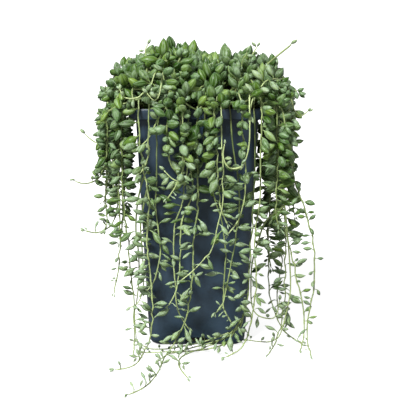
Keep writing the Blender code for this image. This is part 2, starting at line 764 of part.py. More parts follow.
def main():
    clearScene()
    plant = makeCollection("potted string of watermelons")
    cutters = makeCollection("cutters")
    helpers = makeCollection("helpers")
    potPlastic = makeMaterial("slate pot plastic", (0.030, 0.045, 0.065), 0.55)
    soilMix = makeMaterial("potting soil", (0.035, 0.022, 0.014), 0.95)
    leafGreen = makeMaterial("leaf green", (0.10, 0.20, 0.06), 0.38)
    names, routes, leaves = planPlant()
    profile = stemProfile(helpers)
    stubs = [(headCentre.x + headStubRing * math.cos(math.tau * k / headStubs),
              headCentre.y + headStubRing * math.sin(math.tau * k / headStubs)) for k in range(headStubs)]
    roots = [(routes[name][0].x, routes[name][0].y) for name in names] + stubs
    buildPot(plant, cutters, potPlastic)
    buildSoil(plant, cutters, soilMix, roots)
    buildCrown(leaves["crown"], stubs, plant, leafGreen, profile)
    for name in names:
        buildStem(name, routes[name], leaves[name], plant, leafGreen, profile)


main()
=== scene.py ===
# Dresses the potted string of watermelons: smooth pot, soil, and every stem with its petioles and leaves

import math
import random

import bmesh
import bpy
import numpy as np
from mathutils import Matrix, Vector
from mathutils.kdtree import KDTree


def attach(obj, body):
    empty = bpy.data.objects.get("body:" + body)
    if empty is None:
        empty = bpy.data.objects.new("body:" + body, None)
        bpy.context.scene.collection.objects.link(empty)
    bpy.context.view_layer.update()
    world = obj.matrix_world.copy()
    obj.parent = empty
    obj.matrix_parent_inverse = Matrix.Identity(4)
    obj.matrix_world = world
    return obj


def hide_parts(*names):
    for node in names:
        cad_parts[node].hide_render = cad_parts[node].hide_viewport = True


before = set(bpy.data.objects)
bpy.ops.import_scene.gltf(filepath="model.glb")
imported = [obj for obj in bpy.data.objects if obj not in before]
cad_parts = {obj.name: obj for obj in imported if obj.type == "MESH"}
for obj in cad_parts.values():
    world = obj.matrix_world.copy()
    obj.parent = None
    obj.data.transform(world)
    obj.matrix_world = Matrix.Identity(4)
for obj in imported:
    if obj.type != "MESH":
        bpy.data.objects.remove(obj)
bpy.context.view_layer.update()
print("stage: frame loaded,", len(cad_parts), "nodes")


# Helpers for objects and shaders

# Puts a new object into the scene
def newObject(name, data):
    made = bpy.data.objects.new(name, data)
    bpy.context.scene.collection.objects.link(made)
    return made


# Ends a bmesh as a mesh
def meshFrom(bm, name):
    mesh = bpy.data.meshes.new(name)
    bm.to_mesh(mesh)
    bm.free()
    return mesh


# Ends a bmesh as its points and faces
def unpack(bm):
    bm.verts.index_update()
    points = np.array([vert.co[:] for vert in bm.verts])
    faces = [[vert.index for vert in face.verts] for face in bm.faces]
    bm.free()
    return points, faces


# Sets a node's inputs, each to a constant, or to a node and the output it is fed from
def feed(tree, node, inputs):
    for socket, value in inputs.items():
        if isinstance(value, tuple) and isinstance(value[0], bpy.types.Node):
            tree.links.new(value[0].outputs[value[1]], node.inputs[socket])
        else:
            node.inputs[socket].default_value = value


def newNode(tree, kind, inputs=None, **settings):
    node = tree.nodes.new(kind)
    for key, value in settings.items():
        setattr(node, key, value)
    feed(tree, node, inputs or {})
    return node


# The helpers from here to mixInto give a node and its output, ready to feed another
def newNoise(tree, vector, scale, detail, roughness):
    inputs = {"Vector": vector, "Scale": scale, "Detail": detail, "Roughness": roughness}
    return newNode(tree, "ShaderNodeTexNoise", inputs), "Fac"


def newRamp(tree, value, stops):
    ramp = newNode(tree, "ShaderNodeValToRGB", {"Fac": value})
    while len(ramp.color_ramp.elements) < len(stops):
        ramp.color_ramp.elements.new(0.5)
    for element, (place, colour) in zip(ramp.color_ramp.elements, stops):
        element.position = place
        element.color = (*colour, 1)
    return ramp, "Color"


# A value taken from one range to another and held within it
def ranged(tree, value, inputs):
    return newNode(tree, "ShaderNodeMapRange", {"Value": value, **inputs}), "Result"


def multiplied(tree, first, second):
    return newNode(tree, "ShaderNodeMath", {0: first, 1: second}, operation="MULTIPLY"), "Value"


def mixInto(tree, blend, factor, first, second):
    inputs = {0: factor, 6: first, 7: second}
    return newNode(tree, "ShaderNodeMix", inputs, data_type="RGBA", blend_type=blend), 2


def newGroup(name, inputs, outputs):
    group = bpy.data.node_groups.new(name, "ShaderNodeTree")
    for socket, kind, start in inputs:
        made = group.interface.new_socket(socket, in_out="INPUT", socket_type=kind)
        if start is not None:
            made.default_value = start
    for socket, kind in outputs:
        group.interface.new_socket(socket, in_out="OUTPUT", socket_type=kind)
    return group, group.nodes.new("NodeGroupInput"), group.nodes.new("NodeGroupOutput")


def placeGroup(tree, group, inputs):
    return newNode(tree, "ShaderNodeGroup", inputs, node_tree=group)


def newMaterial(name):
    material = bpy.data.materials.new(name)
    material.use_nodes = True
    return material, material.node_tree, material.node_tree.nodes["Principled BSDF"]


# Camera, lights and floor

view = {
    "aim": (0.0024, 0.0, 0.1164),
    "elevation": 13.6,
    "distance": 1.25,
    "lens": 133.0,
}

studio = {
    "sky": 0.40,
    "key": {"from": (-0.40, -0.80, 0.95), "softness": 12.0, "power": 5.45},
    "fill": {"from": (0.90, -0.60, 0.45), "softness": 60.0, "power": 0.30},
    "floorColour": (0.40, 0.40, 0.40, 1),
    "floorBounce": (0.28, 0.28, 0.28, 1),  # for the light that the floor throws back, so that shade stays deep
    "floorGlow": (0.85, 0.85, 0.85, 1),
    "floorRoughness": 0.9,
    "floorSize": 24.0,
    "floorLevel": -0.0005,  # just under the pot's foot
}


def addCamera():
    tilt = math.radians(view["elevation"])
    data = bpy.data.cameras.new("photoCamera")
    data.lens = view["lens"]
    camera = newObject("photoCamera", data)
    back = Vector((0, -math.cos(tilt), math.sin(tilt)))
    camera.location = Vector(view["aim"]) + back * view["distance"]
    camera.rotation_euler = (math.radians(90) - tilt, 0, 0)
    bpy.context.scene.camera = camera


# A broad soft light from one direction
def addLight(name, values):
    data = bpy.data.lights.new(name, "SUN")
    data.angle = math.radians(values["softness"])
    data.energy = values["power"]
    lamp = newObject(name, data)
    lamp.rotation_euler = (-Vector(values["from"])).to_track_quat("-Z", "Y").to_euler()


def addStudio():
    world = bpy.data.worlds.new("studio")
    world.use_nodes = True
    tree = world.node_tree
    feed(tree, tree.nodes["Background"], {"Color": (1, 1, 1, 1), "Strength": studio["sky"]})
    bpy.context.scene.world = world
    bpy.context.scene.view_settings.view_transform = "Standard"
    for name in ("key", "fill"):
        addLight(name, studio[name])
    bm = bmesh.new()
    bmesh.ops.create_grid(bm, x_segments=2, y_segments=2, size=studio["floorSize"] / 2)
    floor = newObject("floor", meshFrom(bm, "floor"))
    floor.location.z = studio["floorLevel"]
    pale, tree, shader = newMaterial("paleFloor")
    seen = newNode(tree, "ShaderNodeLightPath"), "Is Camera Ray"
    feed(tree, shader, {
        "Base Color": mixInto(tree, "MIX", seen, studio["floorBounce"], studio["floorColour"]),
        "Emission Color": mixInto(tree, "MIX", seen, (0, 0, 0, 1), studio["floorGlow"]),
        "Emission Strength": 1,
        "Roughness": studio["floorRoughness"],
    })
    floor.data.materials.append(pale)


addCamera()
addStudio()
print("stage: camera and studio")


# Shader groups

mottleLook = {
    "coarse": (3.0, 0.55),  # detail and roughness
    "fine": (2.0, 0.6),
    "edge": {"From Min": 0.32, "From Max": 0.68},
}

bloomAndTopLightLook = {
    "colour": (0.292, 0.386, 0.264, 1),
    "noise": (480.0, 2.0, 0.7),  # scale, detail and roughness
    "patches": {"From Min": 0.42, "From Max": 0.62},
    # how much more bloom lies where a surface faces up: painted light on the tops
    "paintedTopLight": {"From Min": -0.6, "From Max": 1.0, "To Min": 0.12, "To Max": 1.0},
}


# Soft blotches of two scales: a mask between 0 and 1, and a height
def mottleGroup():
    group, entry, leave = newGroup("mottle", [
        ("Vector", "NodeSocketVector", None), ("Coarse", "NodeSocketFloat", 60.0),
        ("Fine", "NodeSocketFloat", 900.0)], [("Mask", "NodeSocketFloat"), ("Height", "NodeSocketFloat")])
    coarse = newNoise(group, (entry, "Vector"), (entry, "Coarse"), *mottleLook["coarse"])
    fine = newNoise(group, (entry, "Vector"), (entry, "Fine"), *mottleLook["fine"])
    feed(group, leave, {"Mask": ranged(group, coarse, mottleLook["edge"]), "Height": fine})
    return group


# The waxy pale bloom that lies on leaves and stems in real patches, heavier where they face up, which is
# painted light on their tops
def bloomAndTopLightGroup():
    group, entry, leave = newGroup("waxBloomAndPaintedTopLight", [
        ("Color", "NodeSocketColor", None), ("Vector", "NodeSocketVector", None),
        ("Amount", "NodeSocketFloat", 0.3)], [("Color", "NodeSocketColor"), ("Mask", "NodeSocketFloat")])
    noise = newNoise(group, (entry, "Vector"), *bloomAndTopLightLook["noise"])
    patch = ranged(group, noise, bloomAndTopLightLook["patches"])
    shape = newNode(group, "ShaderNodeNewGeometry")
    split = newNode(group, "ShaderNodeSeparateXYZ", {"Vector": (shape, "Normal")})
    # painted top light: more of the pale bloom where the surface faces up
    paintedTopLight = ranged(group, (split, "Z"), bloomAndTopLightLook["paintedTopLight"])
    amount = multiplied(group, multiplied(group, patch, paintedTopLight), (entry, "Amount"))
    bloomedAndTopLit = mixInto(group, "MIX", amount, (entry, "Color"), bloomAndTopLightLook["colour"])
    feed(group, leave, {"Color": bloomedAndTopLit, "Mask": amount})
    return group


# Gives a shader the mottle's fine grain, and gives back the place on the object and the mottle
def addGrain(tree, shader, mottle, look):
    place = newNode(tree, "ShaderNodeTexCoord"), "Object"
    grain = placeGroup(tree, mottle, {"Vector": place, "Coarse": look["coarse"], "Fine": look["fine"]})
    bump = {"Height": (grain, "Height"), "Strength": look["strength"], "Distance": look["depth"]}
    feed(tree, shader, {"Normal": (newNode(tree, "ShaderNodeBump", bump), "Normal")})
    return place, grain


# A material of two tones in soft blotches, with a fine grain
def mottledMaterial(name, mottle, look):
    material, tree, shader = newMaterial(name)
    _, grain = addGrain(tree, shader, mottle, look["grain"])
    base = mixInto(tree, "MIX", (grain, "Mask"), look["dark"], look["pale"])
    feed(tree, shader, {"Base Color": base, "Roughness": look["roughness"]})
    return material


# Plans of the pot, soil, stems, leaves and head, in metres

potDims = {
    "height": 0.204,
    "rimWidth": 0.110,
    "rimBand": 0.009,
    "topWidth": 0.0990,
    "footWidth": 0.0800,
    "wall": 0.0016,
    "corner": 0.0095,
}

soilDims = {
    "level": 0.192,
    "gap": 0.0003,
    "rootDepth": 0.010,
}

stemPlan = {
    "radius": 0.0010,
    "room": 0.0009,  # kept round a stem for its leaves' stalks
    "rootInset": 0.0115,
    "stagger": 0.0050,
    "step": 0.004,
    "sway": 0.0012,
    "gap": 0.0052,
    "potGap": 0.0016,
    "headGap": 0.003,
    "straighten": 0.22,  # the share of a kink that each round takes out
    "floorRest": 0.0016,
    "rounds": 60,
}

leafPlan = {
    "length": 0.0125,
    "girth": 0.285,
    "clear": 0.0006,
    "floorGap": 0.0004,
    "soilGap": 0.0008,
    "headGap": 0.002,
    "spacing": 0.0146,
    "spread": 0.0086,
    "tries": 14,
    "retry": math.radians(52),
    "cell": 0.010,
    "overlap": 0.62,  # how near the leaves of one stem may come, 1 for touching
    # where along a leaf the balls that stand for it lie, and how thick it is there
    "balls": ((0.30, 0.62), (0.50, 0.98), (0.66, 0.96), (0.82, 0.62), (0.95, 0.28)),
    "slimBalls": ((0.32, 0.66), (0.48, 0.97), (0.64, 0.97), (0.80, 0.64), (0.93, 0.28)),
}

headPlan = {
    "centre": Vector((-0.004, 0.001, 0.2070)),
    "size": Vector((0.0375, 0.0365, 0.0270)),
    "leaves": 100,
    "tries": 8,
    "sunk": 0.0038,
    "square": 2.8,
    "lean": 0.22,
}

goldenAngle = math.radians(137.5)

# Each side of the pot: the way out of it, and the way along its rim
sides = {
    "front": (Vector((0, -1, 0)), Vector((1, 0, 0))),
    "right": (Vector((1, 0, 0)), Vector((0, 1, 0))),
    "back": (Vector((0, 1, 0)), Vector((-1, 0, 0))),
    "left": (Vector((-1, 0, 0)), Vector((0, -1, 0))),
}

# Stems placed one by one, in millimetres: the place along the side's rim, how far the stem hangs off the rim,
# how high it arches over it, then the places along, the heights and, where it changes, the distance out. Last
# comes a hooked tip, a tip that turns up, or points on the surface.
stems = {
    "front": [
        (-47, 7, 14, [(-45, 167), (-42, 150), (-36, 127), (-41, 103), (-38, 63), (-36, 23)],
         [(-43, -50), (-46, -80), (-53, -103), (-65, -101)]),
        (-38, 16, 28, [(-38, 178), (-36, 165)], "hook left"),
        (-30, 5, 9, [(-33, 177), (-32, 147), (-34, 123), (-29, 96), (-33, 63)], "hook left"),
        (-23, 15, 22, [(-24, 180), (-22, 163), (-20, 155)], "hook right"),
        (-15, 8, 11, [(-9, 167), (1, 139), (-12, 122), (-15, 108), (-13, 90), (-15, 53)], "hook left"),
        (-10, 18, 22, [(-12, 180), (-10, 157), (-14, 145)], "hook left"),
        (-6, 3, 8, [(-8, 157), (-12, 127), (-19, 108), (-20, 81), (-17, 49), (-16, 31)], "hook right"),
        (1, 9, 13, [(-1, 167), (2, 134), (-3, 104), (-3, 73), (-6, 45), (-14, 17)],
         [(-22, -54), (-27, -68), (-30, -104), (-41, -146), (-52, -156)]),
        (7, 3, 8, [(5, 177), (7, 156), (18, 120), (24, 87), (25, 69), (19, 49), (19, 37)], "hook right"),
        (13, 14, 20, [(15, 180), (17, 157), (18, 134), (18, 120)], "hook right"),
        (19, 20, 14, [(20, 167), (21, 136), (17, 113), (10, 86), (-4, 77)], "hook left"),
        (27, 6, 10, [(28, 173), (36, 136), (34, 111), (30, 92), (24, 63), (25, 46)], "hook left"),
        (34, 15, 30, [(36, 183), (40, 158), (39, 135), (34, 115)], "hook left"),
        (41, 22, 25, [(43, 185), (41, 170), (37, 159), (28, 155)], "turn up"),
        (46, 5, 9, [(46, 167), (46, 127), (43, 87), (42, 52), (38, 27), (20, 11)],
         [(8, -52), (-10, -60), (-17, -78), (-13, -104), (-7, -120)]),
        (51, 12, 20, [(51, 157), (49, 124), (46, 93), (49, 69), (46, 39), (42, 17)],
         [(37, -58), (31, -66), (23, -72)]),
    ],
    "right": [
        (-45, 20, 24, [(-45, 146, 20), (-46, 135, 27), (-48, 113, 36), (-50, 89, 41), (-52, 59, 44),
                       (-53, 46, 38), (-55, 33, 34), (-56, 15, 34)],
         [(91, -62), (93, -70)]),
        (-32, 15, 27, [(-31, 150, 15), (-32, 120, 17), (-34, 95, 19), (-36, 73, 24), (-38, 58, 28),
                       (-38, 45, 32), (-39, 30, 34), (-39, 14, 34)],
         [(88, -44), (86, -54)]),
        (-16, 14, 25, [(-15, 150, 14), (-15, 110, 17), (-16, 77, 19), (-17, 59, 19), (-18, 38, 20),
                       (-20, 18, 17)],
         [(69, -28), (63, -48), (58, -67)]),
        (0, 7, 18, [(0, 150, 7), (1, 110, 5), (0, 75, 5), (0, 45, 7), (-1, 18, 10)],
         [(72, -8), (82, -26), (88, -38)]),
        (12, 12, 24, [(10, 150, 12), (10, 110, 14), (11, 75, 18), (11, 52, 19), (11, 35, 14), (12, 25, 11)],
         "hook left"),
    ],
    "left": [
        (46, 5, 14, [(46, 165, 6), (46, 120, 4), (46, 80, 0), (47, 39, -4), (48, 15, -2)],
         [(-54, -56), (-52, -66)]),
        (39, 18, 24, [(38, 165, 17), (38, 150, 19), (39, 141, 24), (40, 135, 31)], "turn up"),
        (32, 9, 18, [(30, 160, 9), (30, 130, 9), (30, 91, 10), (30, 67, 11), (30, 55, 12)], "hook right"),
        (18, 12, 24, [(19, 150, 12), (18, 120, 11), (18, 100, 12), (19, 91, 16), (20, 89, 26)], "turn up"),
    ],
    "back": [],
}

# More stems by rule: where they cross the rim, how far out they hang and how low they reach, in turn
ruledStems = {
    "right": {"at": (-53, -7, 23, 35, 47), "out": (9, 24, 14, 24, 7), "low": (112, 116, 96, 108, 56)},
    "left": {"at": (25, 9, -4, -17, -30, -43), "out": (20, 7, 17, 8, 20, 9),
             "low": (128, 100, 118, 92, 124, 74)},
    "back": {"at": (-43, -26, -10, 8, 25, 41), "out": (7, 15, 6, 16, 8, 14), "low": (96, 44, 120, 4, 70, 104)},
}

# Shoots that stand up out of the head, in millimetres: the root, and the points passed
shoots = {
    "shoot_right": ((36, -11), [(41, -14, 214), (47, -17, 226), (60, -22, 238), (76, -28, 252)]),
    "shoot_peak": ((28, -32), [(31, -36, 214), (33, -38, 234), (40, -42, 248)]),
}


def millimetres(*values):
    return Vector([value / 1000 for value in values])


# A value held between 0 and 1
def clamp(value):
    return min(1, max(0, value))


# A random shove, up to so much along each axis
def scatter(rng, most):
    return Vector([rng.uniform(-most, most) for _ in range(3)])


# The pot as a shape to keep clear of

# Half the pot's outer width at a height
def potHalf(z):
    if z > potDims["height"] - potDims["rimBand"]:
        return potDims["rimWidth"] / 2
    share = max(z, 0) / (potDims["height"] - potDims["rimBand"])
    return (potDims["footWidth"] + (potDims["topWidth"] - potDims["footWidth"]) * share) / 2


# How far a place lies outside a square with rounded corners, or inside it if negative
def squareDistance(x, y, half):
    dx = abs(x) - (half - potDims["corner"])
    dy = abs(y) - (half - potDims["corner"])
    return math.hypot(max(dx, 0), max(dy, 0)) + min(max(dx, dy), 0) - potDims["corner"]


# How far a point lies outside the pot's outer faces, or inside them if negative
def potAcross(point):
    return squareDistance(point.x, point.y, potHalf(min(point.z, potDims["height"])))


# The distance from a point to the pot's wall, whichever side of it the point is on
def potDistance(point):
    over = max(point.z - potDims["height"], 0)
    return math.hypot(max(abs(potAcross(point) + potDims["wall"] / 2) - potDims["wall"] / 2, 0), over)


# Whether a ball in the pot comes within a gap of the soil
def nearSoil(point, radius, gap):
    inside = potAcross(point) < 0 and point.z < potDims["height"]
    return inside and point.z - radius < soilDims["level"] + gap


# The point, moved out of reach of the wall: over the rim, or sideways off the wall
def awayFromPot(point, room):
    if potDistance(point) >= room:
        return point
    half, wall = potHalf(min(point.z, potDims["height"])), potDims["wall"]
    across = squareDistance(point.x, point.y, half)
    if point.z > potDims["height"] - room and -wall - room < across < room / 2:
        return Vector((point.x, point.y, potDims["height"] + room))
    nudge = 0.0001
    outward = Vector((squareDistance(point.x + nudge, point.y, half) - across,
                      squareDistance(point.x, point.y + nudge, half) - across, 0)).normalized()
    push = room - across if across > -wall / 2 else -wall - room - across
    return point + outward * push


# The length of a direction as the head measures it: flat-topped, between a ball and a block
def headNorm(x, y, z):
    square = headPlan["square"]
    return (abs(x) ** square + abs(y) ** square + abs(z) ** square) ** (1 / square)


# The head's height above its middle, greater on the left: across runs from -1 to 1
def headTall(across):
    return headPlan["size"].z * (1 - headPlan["lean"] * max(-1, min(1, across)))


# Roughly how far a point lies outside the core of the head
def headDistance(point):
    offset = point - headPlan["centre"]
    across = offset.x / headPlan["size"].x
    scaled = headNorm(across, offset.y / headPlan["size"].y, offset.z / headTall(across))
    return (scaled - 1) * min(headPlan["size"])


# The point of the head's skin in a direction, and the way out of it there
def headSkin(way, scale=1):
    size, out = headPlan["size"], way / headNorm(*way) * scale
    skin = headPlan["centre"] + Vector((out.x * size.x, out.y * size.y, out.z * headTall(out.x)))
    return skin, Vector((way.x / size.x, way.y / size.y, way.z / size.z)).normalized()


# One of a number of directions set as evenly as seeds, from the top of a ball down its span
def seedWay(i, count, span=1, sway=0):
    rise = 1 - (i + 0.5) / count * span
    around = i * goldenAngle + sway
    flat = math.sqrt(max(0, 1 - rise * rise))
    return Vector((flat * math.cos(around), flat * math.sin(around), rise))


# Routes of the stems

# Points a step apart on a smooth curve through the given ones
def smoothLine(points, step):
    ends = [points[0] * 2 - points[1]] + points + [points[-1] * 2 - points[-2]]
    fine = []
    for a, b, c, d in zip(ends, ends[1:], ends[2:], ends[3:]):
        parts = max(2, round((c - b).length / 0.001))
        for i in range(parts):
            t = i / parts
            fine.append(0.5 * (b * 2 + (c - a) * t + (a * 2 - b * 5 + c * 4 - d) * t * t
                               + (b * 3 - a - c * 3 + d) * t ** 3))
    fine.append(points[-1].copy())
    return evenly(fine, step)


# Points an even step apart along a line of close points
def evenly(points, step):
    lengths = [(b - a).length for a, b in zip(points, points[1:])]
    total = sum(lengths)
    count = max(2, round(total / step))
    spaced, travelled, k = [points[0].copy()], 0, 0
    for i in range(1, count):
        wanted = total * i / count
        while travelled + lengths[k] < wanted:
            travelled += lengths[k]
            k += 1
        share = (wanted - travelled) / max(lengths[k], 1e-9)
        spaced.append(points[k].lerp(points[k + 1], share))
    return spaced + [points[-1].copy()]


# The point at a distance along a line, and the way the line runs there
def alongLine(line, along, step):
    index = min(len(line) - 2, int(along / step))
    return line[index].lerp(line[index + 1], along / step - index), (line[index + 1] - line[index]).normalized()


# The direction square to a stem, turned round it by an angle
def squareTo(stem, turn):
    return Matrix.Rotation(turn, 3, stem) @ stem.orthogonal().normalized()


# A point by its place along a side's rim and its distance out from the pot's axis
def onSide(side, along, outward, z):
    out, across = sides[side]
    return out * outward + across * along + Vector((0, 0, z))


# The whole way of a trailing stem: root, arch over the rim, fall, and the way it ends
def stemRoute(side, spec, stagger, rng):
    at, hang, lift, way, end = spec
    at, hang, lift, half = at / 1000, hang / 1000, lift / 1000, potDims["rimWidth"] / 2
    level, height = soilDims["level"], potDims["height"]
    rootAt = at / half * (half - stemPlan["rootInset"] - 0.004)
    inner = half - stemPlan["rootInset"] - stagger
    points = [onSide(side, rootAt, inner, level - soilDims["rootDepth"] + soilDims["gap"]),
              onSide(side, rootAt, inner, level + 0.004),
              onSide(side, (rootAt + at) / 2, inner + 0.002, height + lift * 0.72),
              onSide(side, at, half + hang * 0.30, height + lift),
              onSide(side, at, half + hang * 0.95, height + lift * 0.40 - 0.004)]
    for along, z, *out in way:
        off = (out[0] / 1000 if out else hang) + rng.uniform(-stemPlan["sway"], stemPlan["sway"])
        points.append(onSide(side, along / 1000, half + off, z / 1000))
    outward, across = sides[side]
    down, last = Vector((0, 0, -1)), points[-1]
    if end == "turn up":
        points.append(last + across * 0.004 + outward * 0.006 - down * 0.002)
        points.append(last + across * 0.006 + outward * 0.012 - down * 0.008)
    elif isinstance(end, str):
        turn = -1 if end == "hook left" else 1
        points.append(last + across * 0.003 * turn + outward * 0.001 + down * 0.008)
        points.append(last + across * 0.009 * turn + outward * 0.003 + down * 0.009)
    else:
        points += [Vector((x / 1000, y / 1000, stemPlan["floorRest"])) for x, y in end]
    return smoothLine(points, stemPlan["step"])


# Stems made from a side's rule, each with a little sway
def ruledSpecs(side, rule, rng):
    specs = []
    outward, across = sides[side]
    for at, hang, low in zip(rule["at"], rule["out"], rule["low"]):
        sway, top, bottom = rng.uniform(-7, 7), 188, max(low, 16)
        count = max(2, round((top - bottom) / 26))
        way = [(at + sway * k / count + rng.uniform(-2.5, 2.5), top + (bottom - top) * k / count)
               for k in range(1, count + 1)]
        end = rng.choice(("hook left", "hook right"))
        if low < bottom:
            touch = outward * (potDims["rimWidth"] * 500 + hang + 6) + across * way[-1][0]
            tip = touch + outward * rng.uniform(16, 24) + across * rng.uniform(-14, 14)
            end = [(touch.x, touch.y), (tip.x, tip.y)]
        specs.append((at, hang, 13 + hang * 0.55 + rng.uniform(0, 6), way, end))
    return specs


def shootRoute(root, way):
    foot, level = millimetres(*root, 0), soilDims["level"]
    points = [foot + Vector((0, 0, level - soilDims["rootDepth"] + soilDims["gap"])),
              foot + Vector((0, 0, level + 0.004))]
    return smoothLine(points + [millimetres(*place) for place in way], stemPlan["step"])


# Pushes the stems apart, off the pot and off the head, and up off the surface
def settle(routes):
    gap = stemPlan["gap"]
    rooted = math.ceil((soilDims["rootDepth"] + 0.002) / stemPlan["step"]) + 1
    for _ in range(stemPlan["rounds"]):
        flat = [(r, i) for r, route in enumerate(routes) for i in range(len(route))]
        tree = KDTree(len(flat))
        for k, (r, i) in enumerate(flat):
            tree.insert(routes[r][i], k)
        tree.balance()
        moved = [[point.copy() for point in route] for route in routes]
        for r, i in flat:
            if i < rooted:
                continue
            route, here, point = routes[r], routes[r][i], moved[r][i]
            for there, other, distance in tree.find_range(here, gap):
                if flat[other][0] != r and distance > 1e-6:
                    share = 1.0 if flat[other][1] < rooted else 0.5
                    point += (here - there) / distance * (gap - distance) * share
            if i + 1 < len(route):
                point += ((route[i - 1] + route[i + 1]) / 2 - here) * stemPlan["straighten"]
            if headDistance(point) < stemPlan["headGap"]:
                away = point - headPlan["centre"]
                away.z = 0
                point += away.normalized() * (stemPlan["headGap"] - headDistance(point))
            point = awayFromPot(point, stemPlan["radius"] + stemPlan["potGap"])
            point.z = max(point.z, stemPlan["floorRest"])
            moved[r][i] = point
        routes = moved
    return routes


# Room for the leaves

# Balls that stand for what is there already, sorted into cells
class Room:

    def __init__(self, cell):
        self.cell = cell
        self.cells = {}

    def place(self, point):
        return tuple(math.floor(value / self.cell) for value in point)

    def add(self, point, radius, owner):
        self.cells.setdefault(self.place(point), []).append((point, radius, owner))

    def free(self, point, radius, owner, gap):
        cx, cy, cz = self.place(point)
        for x in (cx - 1, cx, cx + 1):
            for y in (cy - 1, cy, cy + 1):
                for z in (cz - 1, cz, cz + 1):
                    for there, size, other in self.cells.get((x, y, z), ()):
                        need = radius + size + gap if other != owner else (radius + size) * leafPlan["overlap"]
                        if (there - point).length_squared < need * need:
                            return False
        return True


# Here and below a leaf is its base, direction, length and girth, which is its thickest radius over its length

# Balls that cover a leaf
def ballsOf(leaf, kind="slimBalls"):
    base, axis, length, girth = leaf
    return [(base + axis * length * t, length * girth * w) for t, w in leafPlan[kind]]


# Puts a leaf where it has room, and says whether it had
def plantFirst(room, owner, leaf, inHead=False):
    balls, clear = ballsOf(leaf, "balls"), leafPlan["clear"]
    for point, radius in balls:
        if point.z - radius < leafPlan["floorGap"] or potDistance(point) < radius + clear:
            return False
        if nearSoil(point, radius, leafPlan["soilGap"]):
            return False
        if not inHead and headDistance(point) < radius + leafPlan["headGap"]:
            return False
    if not all(room.free(point, radius, owner, clear) for point, radius in balls):
        return False
    for point, radius in balls:
        room.add(point, radius, owner)
    return True


# Where leaves grow along a stem: the distance along it, and how long the leaf is there
def leafSpots(line, rng):
    total = stemPlan["step"] * (len(line) - 1)
    spots, along = [], soilDims["rootDepth"] + 0.012
    while along < total - 0.002:
        size = leafPlan["length"] * (1.06 - 0.26 * clamp(along / 0.20)) * rng.uniform(0.88, 1.1)
        size *= 0.55 + 0.45 * clamp((total - along) / 0.035)
        spots.append((along, size))
        spacing = leafPlan["spacing"] + leafPlan["spread"] * clamp((along - 0.045) / 0.09)
        along += spacing * (1 - 0.15 * (along / total)) * rng.uniform(0.85, 1.15)
    return spots


# A leaf's base and direction: square to the stem, with its tip tending up where the stem hangs
def leafOnStem(line, along, turn, rng):
    base, stem = alongLine(line, along, stemPlan["step"])
    rise = rng.uniform(-0.25, 0.55) if abs(stem.z) > 0.5 else rng.uniform(0.1, 0.9)
    axis = (squareTo(stem, turn) + Vector((0, 0, rise)) + stem * rng.uniform(-0.05, 0.25)).normalized()
    return base, axis


# The leaves of one stem, each turned until it has room
def growLeaves(room, owner, line, rng):
    grown, turn = [], rng.uniform(0, math.tau)
    for along, length in leafSpots(line, rng):
        turn += goldenAngle
        girth = leafPlan["girth"] * (1.0 - 0.25 * clamp(along / 0.22)) * rng.uniform(0.93, 1.05)
        for attempt in range(leafPlan["tries"]):
            tried = turn + attempt * leafPlan["retry"] * (-1) ** attempt
            leaf = (*leafOnStem(line, along, tried, rng), length * (1 - 0.02 * attempt), girth)
            if plantFirst(room, owner, leaf):
                grown.append((along, *leaf))
                break
    return grown


# Leaves all over the head, set as evenly as seeds, their roots in its core
def growHead(room, rng):
    grown = []
    wanted = headPlan["leaves"] * 2
    for i in range(wanted):
        if len(grown) >= headPlan["leaves"]:
            break
        skin, normal = headSkin(seedWay(i, wanted, 1.15, rng.uniform(-0.1, 0.1)))
        for attempt in range(headPlan["tries"]):
            axis = (normal + (scatter(rng, 0.55) + Vector((0, 0, 0.2)))).normalized()
            length = leafPlan["length"] * rng.uniform(1.12, 1.32) * (1 - 0.03 * attempt)
            leaf = (skin - normal * headPlan["sunk"], axis, length, leafPlan["girth"])
            if plantFirst(room, "crown", leaf, inHead=True):
                grown.append((0, *leaf))
                break
    return grown


# Every stem's name and route, and every leaf, the same each time
def planPlant():
    rng = random.Random(21)
    names, routes = [], []
    for side, placed in stems.items():
        ruled = ruledSpecs(side, ruledStems[side], rng) if side in ruledStems else []
        specs = sorted(placed + ruled, key=lambda spec: spec[0])
        for number, spec in enumerate(specs, 1):
            names.append(f"stem_{side}_{number:02d}")
            stagger = stemPlan["stagger"] * (number % 2) if side == "front" else 0
            routes.append(stemRoute(side, spec, stagger, rng))
    for name, (root, way) in shoots.items():
        names.append(name)
        routes.append(shootRoute(root, way))
    routes = settle(routes)
    room = Room(leafPlan["cell"])
    for name, route in zip(names, routes):
        for a, b in zip(route, route[1:]):
            for point in (a, (a + b) / 2):
                room.add(point, stemPlan["radius"] + stemPlan["room"], name)
    leaves = {name: growLeaves(room, name, route, random.Random(name)) for name, route in zip(names, routes)}
    leaves["crown"] = growHead(room, random.Random(5))
    return names, dict(zip(names, routes)), leaves


names, routes, leaves = planPlant()
print("stage: plan,", len(names), "stems,", sum(len(found) for found in leaves.values()), "first leaves")


# A fuller planting round the first leaves

